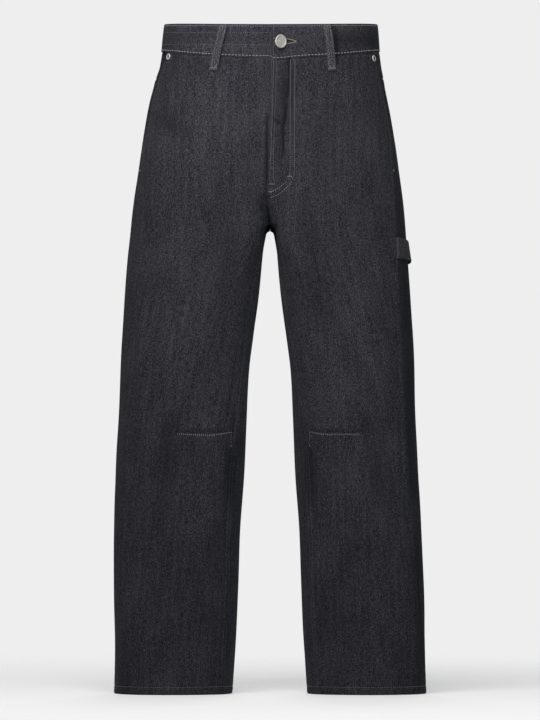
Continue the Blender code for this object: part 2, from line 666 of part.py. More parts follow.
# Belt loops: where each leans from its top to its foot
Loop = namedtuple("Loop", "name face top_x foot_x")
LOOPS = (
    Loop("front_left", FRONT, 83.6, 92.5),
    Loop("front_right", FRONT, -68.9, -84.1),
    Loop("back_left", BACK, 96.0, 98.0),
    Loop("back_right", BACK, -97.0, -95.0),
    Loop("back_centre", BACK, 0.0, 0.0),
)
LOOP_WIDTH = 12.0
LOOP_WALL = 1.8

# How the loop stands off down its length: heights from the top edge, distances from the panels' face
Stand = namedtuple("Stand", "down off")
LOOP_STANDS = (
    Stand(0.5, 1.4), Stand(7.0, 1.5), Stand(13.0, 3.0), Stand(24.0, 3.9), Stand(36.0, 3.9), Stand(47.0, 3.0),
    Stand(56.0, 1.5), Stand(63.0, LIE_GAP), Stand(70.0, LIE_GAP),
)


def add_belt_loop(loop):
    down = np.array([stand.down for stand in LOOP_STANDS])[:, None]
    off = np.array([stand.off for stand in LOOP_STANDS])[:, None]
    share = (down - down[0]) / (down[-1] - down[0])
    across = np.array((-0.5, 0.0, 0.5))[None, :] * LOOP_WIDTH
    x = loop.top_x + (loop.foot_x - loop.top_x) * share + across
    side = np.where(x >= 0.0, LEFT, RIGHT)
    zero = np.zeros(x.shape)
    top = band_top(theta_at_x(side, x, zero, loop.face))
    z = top - down
    theta = theta_at_x(side, x, z, loop.face)
    point, normal, _ = cloth_frame(side, theta, z)
    middle = normal[:, 1:2]
    inner = point[:, 1:2] + (point - point[:, 1:2]) + middle * off[..., None]
    add_wall("belt_loop_" + loop.name, inner + middle * LOOP_WALL, inner, DENIM)


POCKET_WIDTH = 152.0
POCKET_HEIGHT = 138.0
POCKET_POINT = 18.0
POCKET_X = 92.0
POCKET_TOP_Z = -100.0


def add_back_pocket(side):
    """A plain patch pocket on the back, narrower and pointed below."""
    across = np.linspace(-1.0, 1.0, 15)[None, :]
    down = np.linspace(0.0, 1.0, 9)[:, None]
    half_width = (POCKET_WIDTH / 2.0) * (1.0 - 0.12 * down)
    x = side * (POCKET_X + across * half_width)
    z = POCKET_TOP_Z - down * (POCKET_HEIGHT + POCKET_POINT * (1.0 - np.abs(across))) - 4.0 * across * side
    theta = theta_at_x(side, x, z, BACK)
    patch_on_cloth("back_pocket_" + SIDE_NAMES[side], side, theta, z, LIE_GAP, CLOTH, DENIM)


STRAP_TOP_Z = -298.0
STRAP_SLOPE = -10.0
STRAP_HEIGHT = 31.5
STRAP_WALL = 2.2
STRAP_TOP_SLACK = 0.6
STRAP_FOOT_SLACK = 3.1
STRAP_END = math.radians(-28.0)


def add_hammer_loop():
    """The hammer strap on the wearer's left thigh, from the side seam to the back, open above and below."""
    along = np.linspace(0.0, 1.0, 15)[None, :]
    down = np.array((0.0, 0.5, 1.0))[:, None]
    z = STRAP_TOP_Z + STRAP_SLOPE * along - STRAP_HEIGHT * down
    start = side_angle(LEFT, np.broadcast_to(z, (3, 15))) - math.radians(1.0)
    theta = start + (STRAP_END - start) * along
    slack = np.sin(math.pi * along ** 1.6)
    lift = SEAT_GAP + slack * (STRAP_TOP_SLACK + (STRAP_FOOT_SLACK - STRAP_TOP_SLACK) * down)
    patch_on_cloth("hammer_loop", LEFT, theta, z, lift, STRAP_WALL, DENIM)


def clear_scene():
    for old in list(bpy.data.objects):
        bpy.data.objects.remove(old, do_unlink=True)


clear_scene()
PARTS = bpy.data.collections.new("baggy_jeans")
bpy.context.scene.collection.children.link(PARTS)
for body_side in (LEFT, RIGHT):
    add_body(body_side)
    add_pocket_facing(body_side)
    add_back_pocket(body_side)
add_fly_shield()
add_waistband()
add_button()
add_rivet(LEFT, 154.9, -30.7)
add_rivet(RIGHT, -151.3, -28.4)
for belt_loop in LOOPS:
    add_belt_loop(belt_loop)
add_hammer_loop()
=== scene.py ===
"""The look of the baggy jeans: denim shells, seams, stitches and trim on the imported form.

Tables and sizes are in millimetres in the frame of the part, and the meshes are made in metres.
"""

import math
from collections import namedtuple

import bmesh
import bpy
import numpy as np
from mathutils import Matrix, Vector


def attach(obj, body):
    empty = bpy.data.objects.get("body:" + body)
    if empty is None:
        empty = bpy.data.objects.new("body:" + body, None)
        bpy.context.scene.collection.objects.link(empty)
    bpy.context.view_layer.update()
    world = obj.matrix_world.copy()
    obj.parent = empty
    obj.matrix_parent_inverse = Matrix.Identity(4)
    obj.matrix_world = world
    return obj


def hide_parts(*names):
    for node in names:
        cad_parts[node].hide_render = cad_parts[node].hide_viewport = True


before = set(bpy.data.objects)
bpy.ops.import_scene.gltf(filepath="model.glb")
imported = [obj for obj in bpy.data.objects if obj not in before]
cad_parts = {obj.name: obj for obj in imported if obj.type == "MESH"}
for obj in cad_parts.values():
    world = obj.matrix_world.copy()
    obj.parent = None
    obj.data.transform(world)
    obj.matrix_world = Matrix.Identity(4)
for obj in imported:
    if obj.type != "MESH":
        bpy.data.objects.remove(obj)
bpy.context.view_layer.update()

MM = 0.001

# Sizes
GAP = 0.3               # between neighbouring panels
SEAT_LAP = 0.4          # how far each side passes the middle at the seat seam
CLOTH = 1.2             # one layer of denim
FACING_GAP = 1.3        # behind a panel, before the piece that backs it
POCKET_LIFT = 0.5       # under a patch pocket
SEAT_GAP = 0.4          # under the sewn ends of the hammer loop
ROUNDNESS = 2.25        # exponent of the oval sections, 2 is an ellipse
CROTCH_SQUARENESS = 2.5 # added to it on the inner thigh at the crotch, where the legs press together
SQUARE_REACH = 140.0    # how far down the leg the inner thigh stays squarer
FRONT_ARCH_RISE = 9.0   # how much higher the front's arch begins than the back's
HEM_Z = -981.0
HEM_FOLD = 10.0
HEM_ROW_LIFT = 1.5      # of its stitches over the fold
HEM_WALL = 2.6
CROTCH_Z = -288.0
SEAT_RISE = 220.0       # above the crotch, where both legs have become one body
YOKE_SIDE_Z = -60.0
YOKE_CENTRE_Z = -98.0
YOKE_FADE_Z = -205.0
POCKET_END_Z = -190.0   # lower end of the side pocket's mouth

BAND_WALL = 2.2
BAND_PROUD = 1.0        # how far the waistband stands out from the panels
BAND_SIDE_TOP = 21.5
BAND_SIDE_FOOT = -20.3
BAND_FRONT_TOP_DIP = 3.1
BAND_FRONT_FOOT_DIP = 11.4
BAND_BACK_TOP_RISE = 3.5
BAND_BACK_FOOT_RISE = 3.0
UNDERLAP_END_X = 45.0
OVERLAP_END_X = 2.2
OVERLAP_DROP = 3.5
OVERLAP_DROP_REACH = 0.16
UNDERLAP_SHIFT = BAND_WALL + 0.5
TUCK_START_X = -34.0
TUCK_LENGTH = 26.0

BUTTON_Z = -7.8
BUTTON_RADIUS = 10.2
BUTTON_FOOT_X = 8.0
BUTTON_TURN = math.radians(37.0)
BUTTON_HEIGHT = 11.6
BUTTON_FOOT_RADIUS = 3.6

LEFT = 1.0
RIGHT = -1.0
SIDE_NAMES = {LEFT: "left", RIGHT: "right"}
FRONT = -1.0
BACK = 1.0


def table(kind, rows):
    """The rows of a table with their columns named."""
    return tuple(kind(*row) for row in rows)


def folds(face, rows):
    """Folds that all lie on the front or all on the back."""
    return tuple(Fold(face, *row) for row in rows)


# Half widths from the middle and depths in front and behind, at heights down the garment
Section = namedtuple("Section", "z outer_left outer_right front back")
SECTIONS = table(Section, (
    (26, 160.4, 157.4, 99, 97),
    (-20, 163.8, 162.2, 104, 104),
    (-43.5, 166.8, 165.9, 107, 111),
    (-61.5, 170, 171.5, 109, 117),
    (-97.5, 177.5, 181.5, 112, 127),
    (-133.5, 184.7, 188.4, 113, 134),
    (-169.5, 190.5, 194.1, 113, 138),
    (-205.5, 194.6, 198.5, 112, 138),
    (-241.5, 198.5, 203, 110, 133),
    (-288, 202.9, 207.9, 107, 124),
    (-331.5, 206.6, 213.5, 104, 117),
    (-391.5, 211.1, 218.1, 100, 109),
    (-451.5, 214.4, 221.4, 96, 102),
    (-511.5, 217.1, 224.6, 92, 97),
    (-571.5, 219.3, 227.6, 90, 93),
    (-631.5, 221.7, 230.6, 87, 90),
    (-691.5, 224.3, 232.4, 84, 88),
    (-751.5, 227.1, 233.1, 81.5, 86),
    (-811.5, 230, 233.4, 79, 84),
    (-871.5, 232.4, 233.5, 77, 82),
    (-981, 234.6, 233.5, 75, 80),
))

# Half of the space between the legs, below the crotch
Inside = namedtuple("Inside", "z inner_left inner_right")
INSIDES = table(Inside, (
    (-288, 0.15, 0.15),
    (-309, 4, 4.1),
    (-331.5, 7.8, 8.2),
    (-391.5, 16.6, 17),
    (-451.5, 25.5, 25.9),
    (-511.5, 31.8, 32.3),
    (-571.5, 34.8, 35.3),
    (-631.5, 37.5, 38.1),
    (-691.5, 40.2, 41),
    (-751.5, 43.2, 44),
    (-811.5, 46.2, 47),
    (-871.5, 49.4, 50.1),
    (-981, 55.8, 56.4),
))

# Where the seams run round each section, in degrees from the outer side, forward positive
Seam = namedtuple("Seam", "z side_left side_right mouth_left mouth_right inseam")
SEAMS = table(Seam, (
    (26, 0, -4, 20, 20, 180),
    (-20, 0, -4, 18.5, 18.5, 180),
    (-60, 3, -1, 15, 14, 180),
    (-97.5, 6, 2, 13.5, 11.5, 180),
    (-133.5, 10, 5, 15, 12, 180),
    (-169.5, 17, 10, 19, 13, 180),
    (-190, 21, 14, 21, 14, 180),
    (-241, 29, 10, 29, 10, 180),
    (-288, 35, 6.5, 35, 6.5, 180),
    (-316, 38, 5, 38, 5, 169),
    (-406, 41.5, 2, 41.5, 2, 153),
    (-451, 40.5, 1, 40.5, 1, 149),
    (-541, 36.5, 0, 36.5, 0, 145),
    (-601, 34.5, 0, 34.5, 0, 141),
    (-676, 32.8, 0, 32.8, 0, 140),
    (-751, 30.5, 0, 30.5, 0, 140),
    (-841, 28, 0, 28, 0, 140),
    (-981, 12, 0, 12, 0, 140),
))

# The fork line parts the inner thigh from the front or back of a panel, at a distance from the middle
Fork = namedtuple("Fork", "z x")
FORKS = table(Fork, (
    (26, 20),
    (-288, 20),
    (-331, 34),
    (-406, 54),
    (-451, 63),
    (-541, 80),
    (-601, 87),
    (-981, 104),
))

# How far the centre front seam wanders sideways
Centre = namedtuple("Centre", "z shift")
CENTRES = table(Centre, (
    (26, 2),
    (-20, 2),
    (-110, 1.5),
    (-150, -0.5),
    (-190, -3),
    (-235, -5),
    (-270, -2),
    (-288, 0),
    (-320, 0),
    (-981, 0),
))
CENTRE_REACH = 45.0

# Soft folds as straight troughs seen from the front or back; a negative depth is a ridge
Fold = namedtuple("Fold", "face x1 z1 x2 z2 reach depth")
FOLDS = folds(FRONT, (
    (-8, -280, -34, -222, 13, 3),
    (9, -280, 28, -215, 13, 2.5),
    (28, -215, 38, -160, 12, 1.5),
    (-62, -262, -80, -190, 26, 3),
    (-146, -588, -148, -540, 15, 3.5),
    (-150, -600, -163, -665, 20, 2),
    (143, -588, 143, -540, 15, 3.5),
    (150, -600, 164, -665, 20, 2),
    (-48, -620, -62, -770, 17, 3),
    (52, -620, 68, -770, 17, 3),
    (-100, -575, -105, -480, 30, -2.5),
    (100, -575, 104, -480, 30, -2.5),
)) + folds(BACK, (
    (-30, -300, -120, -270, 20, 4),
    (30, -296, 116, -276, 20, 3.5),
    (-70, -345, -150, -322, 22, 2.5),
    (66, -350, 140, -318, 22, 3),
    (-85, -590, -165, -570, 20, 3.5),
    (80, -575, 160, -592, 20, 3.5),
    (-80, -655, -150, -635, 22, 2.5),
    (90, -640, 165, -662, 22, 2.5),
))
FACE_FADE = 35.0        # depth behind which a fold of the front or back has faded in fully
END_FADE = 0.8          # how much of a crease's depth is gone at its ends

# Finer creases, as the folds above, with ends that fade out
CREASES = folds(FRONT, (
    # the fly's wrinkle and its hook
    (24, -36, 23, -78, 2.6, 2.4),
    (22.8, -70, 20.8, -128, 2.6, 3.4),
    (21, -122, 17, -137, 2.8, 3),
    (19.5, -134, 21, -180, 2.4, 2.8),
    (21.5, -172, 20.5, -206, 2.4, 1.4),
    (3, -122, 17, -131, 3, 2),
    (5, -134, 15, -142, 3.4, -1.4),
    (29, -45, 26.5, -122, 4, -1.2),
    (14, -45, 12, -118, 5, -1),
    # the wearer's left side seam, where the back turns away
    (178, -190, 190, -440, 8, -2.4),
    (190, -430, 204, -720, 9, -1.8),
    # out of the crotch
    (-3, -286, -28, -242, 6, 1.8),
    (-26, -246, -50, -205, 9, 1.1),
    (3, -286, 27, -229, 6, 1.8),
    (27, -232, 40, -168, 8, 1.2),
    (-14, -285, -44, -262, 7, -1),
    (16, -285, 46, -255, 7, -1),
    (-12, -238, -9, -198, 4, 1.2),
    # over the hips
    (-82, -226, -58, -176, 16, 1.6),
    (78, -150, 62, -215, 18, 1),
    (-150, -128, -112, -176, 14, 1),
    (148, -120, 116, -170, 14, 1),
    (-96, -60, -104, -118, 12, 0.8),
    (104, -60, 108, -120, 12, 0.8),
    # down the thighs
    (-60, -300, -76, -430, 20, 1.2),
    (62, -310, 80, -440, 20, 1.2),
    (-140, -300, -146, -420, 22, 1.1),
    (150, -320, 150, -450, 22, 1.1),
    # round the knees
    (-139, -596, -149, -562, 8, 1.9),
    (-142, -594, -154, -640, 10, 1.5),
    (136, -596, 144, -560, 8, 1.9),
    (139, -594, 156, -642, 10, 1.5),
    (-126, -560, -118, -520, 12, -1),
    (122, -560, 116, -520, 12, -1),
    (-60, -600, -66, -565, 7, 1),
    (60, -600, 65, -565, 7, 1),
    (-56, -614, -62, -690, 8, 1.6),
    (56, -614, 63, -690, 8, 1.6),
    (-66, -700, -78, -860, 16, 1.3),
    (70, -700, 84, -860, 16, 1.3),
    (-160, -690, -172, -860, 20, 1.1),
    (160, -690, 174, -860, 20, 1.1),
    (-120, -760, -128, -930, 22, -0.9),
    (124, -760, 132, -930, 22, -0.9),
    # the knee darts: a pressed groove under a soft ridge
    (-141, -591.5, -54, -590, 2.4, 0.9),
    (-138, -584, -60, -582, 5, -0.9),
    (54, -590, 137, -591.5, 2.4, 0.9),
    (60, -582, 134, -584, 5, -0.9),
)) + folds(BACK, (
    # the seat
    (-8, -282, -58, -252, 8, 2.2),
    (8, -282, 62, -248, 8, 2),
    (-26, -300, -92, -286, 9, 2.4),
    (24, -300, 86, -282, 9, 2.2),
    (-50, -330, -128, -306, 12, 1.8),
    (46, -334, 118, -304, 12, 1.9),
    (-70, -372, -140, -352, 14, 1.2),
    (74, -378, 150, -350, 14, 1.2),
    # behind the knees
    (-74, -572, -150, -556, 9, 2),
    (72, -560, 140, -574, 9, 1.9),
    (-92, -606, -176, -596, 10, 2.2),
    (96, -602, 172, -618, 10, 2.1),
    (-76, -640, -132, -622, 10, 1.5),
    (84, -646, 142, -640, 10, 1.5),
    # down the calves
    (-110, -700, -122, -880, 20, 1.4),
    (112, -690, 126, -890, 20, 1.4),
    (-170, -720, -180, -900, 22, 1.1),
    (176, -730, 184, -900, 22, 1.1),
))

# Slow unevenness of the hanging cloth: waves per turn round a leg, length of a wave down it, height and phase
Wave = namedtuple("Wave", "turns length height phase")
WAVES = table(Wave, (
    (3, 410, 0.55, 0.4),
    (5, -260, 0.45, 2.1),
    (8, 190, 0.30, 4),
    (13, -120, 0.16, 1.2),
))

HANG_GROWTH = 60.0      # how far under the waistband the waves are at full height

FLY_RAISE = 0.8
FLY_WIDTH = 31.0
FLY_FOOT_Z = -240.0
FLY_EDGE = 3.0

# Soft darker places of the cloth, painted shade and shadow, as the folds above; a negative depth is a paler
# place, a painted highlight
PAINTED_SHADE_AND_HIGHLIGHT = folds(FRONT, (
    # painted shade over the strip beyond the wearer's left side seam, with a painted highlight along the
    # seam's ridge
    (206, -90, 212, -470, 17, 0.9),
    (212, -460, 222, -700, 14, 0.9),
    (223, -700, 231, -975, 9, 0.8),
    (181, -190, 191, -440, 3, -0.9),
    (191, -430, 205.5, -720, 3, -0.8),
    # painted shadow along the fly's edge and its wrinkle, and beside the belt loops' right edges
    (-4.5, -110, -5, -222, 2.4, 0.9),
    (27, -30, 28, -60, 2, 0.9),
    (28, -60, 24.5, -98, 2, 1),
    (24.5, -98, 22.5, -128, 2, 1),
    (22.5, -126, 17.5, -137, 2, 1),
    (-64, 20, -77.5, -45, 3, 1),
    (95, 20, 101, -45, 3, 1),
    (-150, 17, -12, 14.5, 4, -0.6),
    (-140, -13.5, -20, -17, 4.5, -0.5),
    (85, -4, 185, -2, 12, 0.45),
    (70, -90, 110, -200, 40, 0.16),
    (19, -40, 12, -200, 10, 0.25),
    (19, -136, 20.8, -180, 1.8, 0.9),
    (3.5, -122, 15.5, -131, 1.6, 0.7),
    (-12, -235, -14, -264, 6, 0.5),
    # painted highlight on the inner thighs below the crotch
    (-12, -296, -24, -410, 9, -0.8),
    (-24, -410, -46, -580, 12, -0.7),
    (12, -296, 22, -410, 9, -0.6),
    (24, -410, 44, -580, 12, -0.3),
    (-170, -560, -160, -965, 50, 0.10),
    (-100, -720, -100, -965, 60, 0.10),
    (100, -720, 110, -965, 60, 0.12),
    (-120, -150, -178, -110, 16, 0.30),
    (-60, -240, -70, -420, 16, 0.22),
    (60, -250, 72, -430, 16, 0.22),
    (-150, -560, -163, -700, 14, 0.30),
    (150, -560, 163, -700, 14, 0.30),
    (-58, -610, -60, -700, 8, 0.50),
    (58, -610, 60, -700, 8, 0.50),
    (-84, -40, -96, -200, 34, -0.16),
    (-140, -220, -146, -540, 26, -0.10),
    (-98, -460, -104, -760, 24, -0.10),
    (98, -460, 106, -760, 24, -0.10),
    (132, -300, 140, -560, 20, -0.10),
)) + folds(BACK, (
    (0, -258, 0, -292, 9, 1),
))


def smooth_column(rows, name, z):
    """One named column of a table read at the heights z, smooth and without overshoot."""
    heights = -np.array([row.z for row in rows])
    values = np.array([getattr(row, name) for row in rows])
    steps = np.diff(heights)
    slopes = np.diff(values) / steps
    tangents = np.zeros(len(rows))
    product = slopes[:-1] * slopes[1:]
    total = slopes[:-1] + slopes[1:]
    tangents[1:-1] = np.where(product > 0.0, 2.0 * product / np.where(total == 0.0, 1.0, total), 0.0)
    tangents[0] = slopes[0]
    tangents[-1] = slopes[-1]
    depth = np.clip(-np.asarray(z, dtype=float), heights[0], heights[-1])
    place = np.clip(np.searchsorted(heights, depth, side="right") - 1, 0, len(rows) - 2)
    width = steps[place]
    share = (depth - heights[place]) / width
    rest = 1.0 - share
    start = values[place] * (1.0 + 2.0 * share) * rest ** 2
    end = values[place + 1] * (3.0 - 2.0 * share) * share ** 2
    bend = share * rest * width * (tangents[place] * rest - tangents[place + 1] * share)
    return start + end + bend


def smooth_step(share):
    return share * share * (3.0 - 2.0 * share)


def unit(vectors):
    return vectors / np.linalg.norm(vectors, axis=-1, keepdims=True)


def grid(down, across):
    """Both values at each crossing of the rows and columns."""
    return np.meshgrid(down, across, indexing="ij")


def dip(depth, apart, reach):
    """A groove or a rolled edge, deepest on its own line."""
    return -depth * np.exp(-(apart / reach) ** 2)


def signed_power(value, power):
    return np.sign(value) * np.abs(value) ** power


def ring_sizes(side, z):
    """Middle and half width of the oval that one side's cloth follows at height z."""
    is_left = side > 0.0
    outer_left, outer_right = (smooth_column(SECTIONS, name, z) for name in ("outer_left", "outer_right"))
    inner_left, inner_right = (smooth_column(INSIDES, name, z) for name in ("inner_left", "inner_right"))
    outer = np.where(is_left, outer_left, outer_right)
    inner = np.where(is_left, inner_left, inner_right)
    joined = smooth_step(np.clip((z - CROTCH_Z) / SEAT_RISE, 0.0, 1.0))
    inner = inner * (1.0 - joined) - outer * joined
    return (outer + inner) / 2.0, (outer - inner) / 2.0


def ring_exponent(cosine, z):
    """Exponent of the oval: squarer on the inner thigh near the crotch."""
    below = np.clip(CROTCH_Z - z, 0.0, None)
    squarer = CROTCH_SQUARENESS * np.exp(-(below / SQUARE_REACH) ** 1.2)
    return np.where(cosine < 0.0, ROUNDNESS + squarer, ROUNDNESS)


def ring_depth(sine, z):
    """How far the oval reaches ahead of the middle, or behind it."""
    return np.where(sine > 0.0, smooth_column(SECTIONS, "front", z), smooth_column(SECTIONS, "back", z))


def fold_relief(rows, fading, x, y, z):
    """How far the cloth is moved out at a place by soft folds, which fade out at their ends where asked."""
    relief = np.zeros(np.shape(x))
    for fold in rows:
        run_x = fold.x2 - fold.x1
        run_z = fold.z2 - fold.z1
        along = ((x - fold.x1) * run_x + (z - fold.z1) * run_z) / (run_x ** 2 + run_z ** 2)
        along = np.clip(along, 0.0, 1.0)
        depth = fold.depth * (1.0 - fading * (2.0 * along - 1.0) ** 4)
        apart = (x - fold.x1 - along * run_x) ** 2 + (z - fold.z1 - along * run_z) ** 2
        facing = np.clip(y * fold.face / FACE_FADE, 0.0, 1.0)
        relief = relief - depth * np.exp(-apart / fold.reach ** 2) * facing
    return relief


def soft_window(value, low, high, edge):
    """One between low and high, falling to nought over the edge on either side."""
    rise = np.clip((value - low) / edge + 0.5, 0.0, 1.0)
    fall = np.clip((high - value) / edge + 0.5, 0.0, 1.0)
    return smooth_step(rise) * smooth_step(fall)


def fly_relief(side, x, y, z):
    """The doubled cloth of the fly, on the wearer's left front."""
    across = soft_window(x, -FLY_EDGE, FLY_WIDTH, FLY_EDGE)
    down = soft_window(z, FLY_FOOT_Z, 0.0, 2.0 * FLY_EDGE)
    return FLY_RAISE * across * down * (side > 0.0) * (y < 0.0)


# The small arch where the legs part: its half width, how fast it opens and how far down it fades
Arch = namedtuple("Arch", "width height fade reach")
BACK_ARCH = Arch(4.6, 1.5, 95.0, 18.0)
FRONT_ARCH = Arch(6.6, 3.0, 60.0, 9.0)


def arch_shift(side, x, inner, z, is_front):
    """The inner thighs draw apart in a small arch right under the crotch, wider on the front."""
    shift = 0.0
    for arch, rise, here in ((BACK_ARCH, 0.0, ~is_front), (FRONT_ARCH, FRONT_ARCH_RISE, is_front)):
        below = np.clip(CROTCH_Z + rise - z, 0.0, None)
        opening = arch.width * (1.0 - np.exp(-below / arch.height)) * np.exp(-(below / arch.fade) ** 2)
        shift = shift + opening * here * np.exp(-((side * x - inner) / arch.reach) ** 2)
    return side * shift


EASE_WIDTH = 17.0
EASE_HEIGHT = 34.0


def crotch_ease(x, z):
    """One everywhere but beside the crotch, where the seams hold the cloth close."""
    middle_z = CROTCH_Z + EASE_HEIGHT / 4.0
    return 1.0 - np.exp(-(x / EASE_WIDTH) ** 4 - ((z - middle_z) / EASE_HEIGHT) ** 4)


def hang_relief(theta, z):
    """The slow unevenness of cloth that hangs, growing from the waistband down."""
    waves = [wave.height * np.sin(wave.turns * theta + 2.0 * math.pi * z / wave.length + wave.phase)
             for wave in WAVES]
    return sum(waves) * np.clip((BAND_SIDE_FOOT - z) / HANG_GROWTH, 0.0, 1.0)


def cloth_point(side, theta, z):
    """A point of the cloth's outer face; theta is nought at the outer side and a right angle at the front."""
    middle, half = ring_sizes(side, z)
    cosine = np.cos(theta)
    sine = np.sin(theta)
    exponent = ring_exponent(cosine, z)
    depth = ring_depth(sine, z)
    across = signed_power(cosine, 2.0 / exponent)
    ahead = signed_power(sine, 2.0 / exponent)
    x = side * (middle + half * across)
    y = -depth * ahead
    out_x = side * signed_power(across, exponent - 1.0) / half
    out_y = -signed_power(ahead, exponent - 1.0) / depth
    length = np.sqrt(out_x ** 2 + out_y ** 2)
    relief = fold_relief(FOLDS, 0.0, x, y, z) + fold_relief(CREASES, END_FADE, x, y, z)
    relief = relief + fly_relief(side, x, y, z) + hang_relief(side * theta, z)
    relief = relief * crotch_ease(x, z)
    in_front = np.clip(-y / FACE_FADE, 0.0, 1.0)
    x_shift = smooth_column(CENTRES, "shift", z) * np.exp(-(x / CENTRE_REACH) ** 2) * in_front
    x_shift = x_shift + arch_shift(side, x, middle - half, z, y < 0.0)
    return np.stack([x + x_shift + relief * out_x / length, y + relief * out_y / length, z], axis=-1)


def plain_point(side, theta, z):
    """A point of the oval alone, for spacing a grid evenly."""
    middle, half = ring_sizes(side, z)
    exponent = ring_exponent(np.cos(theta), z)
    x = side * (middle + half * signed_power(np.cos(theta), 2.0 / exponent))
    y = -ring_depth(np.sin(theta), z) * signed_power(np.sin(theta), 2.0 / exponent)
    return np.stack([x, y, z], axis=-1)


TURN_STEP = 0.02        # the small steps by which the cloth's directions are measured
RISE_STEP = 1.0


def cloth_frame(side, theta, z):
    """Point, outward normal and the direction of growing theta."""
    side, theta, z = np.broadcast_arrays(*(np.asarray(value, float) for value in (side, theta, z)))
    point = cloth_point(side, theta, z)
    round_way = cloth_point(side, theta + TURN_STEP, z) - cloth_point(side, theta - TURN_STEP, z)
    up_way = cloth_point(side, theta, z + RISE_STEP) - cloth_point(side, theta, z - RISE_STEP)
    return point, unit(np.cross(round_way, up_way) * -side[..., None]), unit(round_way)


def level(normal):
    """The normal turned level, so that an edge's two sides end at one height."""
    return unit(normal * np.array([1.0, 1.0, 0.0]))


def theta_at_x(side, x, z, face):
    """The angle at which the cloth stands at a distance x from the middle, on the front or back."""
    middle, half = ring_sizes(side, z)
    across = np.clip((side * np.asarray(x, float) - middle) / half, -1.0, 1.0)
    angle = np.arccos(signed_power(across, ring_exponent(across, z) / 2.0))
    return -face * angle


def side_angle(side, z):
    return np.radians(smooth_column(SEAMS, "side_" + SIDE_NAMES[side], z))


def mouth_angle(side, z):
    return np.radians(smooth_column(SEAMS, "mouth_" + SIDE_NAMES[side], z))


def inner_angle(side, z, face):
    """Where a front or back panel ends: the centre seam above the crotch, the inseam below it."""
    centre = theta_at_x(side, side * (GAP / 2.0 if face < 0.0 else -SEAT_LAP), z, face)
    inseam = np.radians(smooth_column(SEAMS, "inseam", z))
    if face > 0.0:
        inseam = inseam - 2.0 * math.pi
    return np.where(z > CROTCH_Z + 1e-6, centre, inseam)


def fork_angle(side, z, face):
    return theta_at_x(side, side * smooth_column(FORKS, "x", z), z, face)


def band_foot(side, theta):
    """Lower edge of the waistband, with the free end of the wearer's left hanging a little lower."""
    ahead = np.clip(np.sin(theta), 0.0, 1.0)
    behind = np.clip(-np.sin(theta), 0.0, 1.0)
    end = np.exp(-(np.cos(theta) / OVERLAP_DROP_REACH) ** 2) * (ahead > 0.0) * (side > 0.0)
    level_foot = BAND_SIDE_FOOT - BAND_FRONT_FOOT_DIP * ahead ** 2.2 + BAND_BACK_FOOT_RISE * behind ** 2.0
    return level_foot - OVERLAP_DROP * end


def band_top(theta):
    ahead = np.clip(np.sin(theta), 0.0, 1.0)
    behind = np.clip(-np.sin(theta), 0.0, 1.0)
    return BAND_SIDE_TOP - BAND_FRONT_TOP_DIP * ahead ** 2.2 + BAND_BACK_TOP_RISE * behind ** 2.0


NEAR_SEAM = (0.0, 0.6, 1.4, 2.6, 4.4, 7.0)   # columns and rows close to a seam


def seam_relief(apart):
    """Cloth rolls in at a seam's edge and stands a little thicker over the turned allowance."""
    allowance = 1.0 - np.clip((apart - 8.0) / 3.0, 0.0, 1.0)
    return 0.35 * allowance + dip(0.75, apart, 1.3)


def stitched_relief(apart, row):
    """A row of stitches pulls a shallow groove into the cloth."""
    return dip(0.22, apart - row, 1.0)


def new_mesh(name, points, faces):
    mesh = bpy.data.meshes.new(name)
    mesh.from_pydata((points * MM).tolist(), [], faces)
    mesh.update()
    return mesh


def add_piece(name, mesh, finishes):
    """The mesh as a shown piece with its materials, riding on the part's one body."""
    for finish in finishes:
        mesh.materials.append(finish)
    mesh.shade_smooth()
    mesh.set_sharp_from_angle(angle=math.radians(40.0))
    piece = bpy.data.objects.new(name, mesh)
    bpy.context.scene.collection.objects.link(piece)
    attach(piece, "root")
    return piece


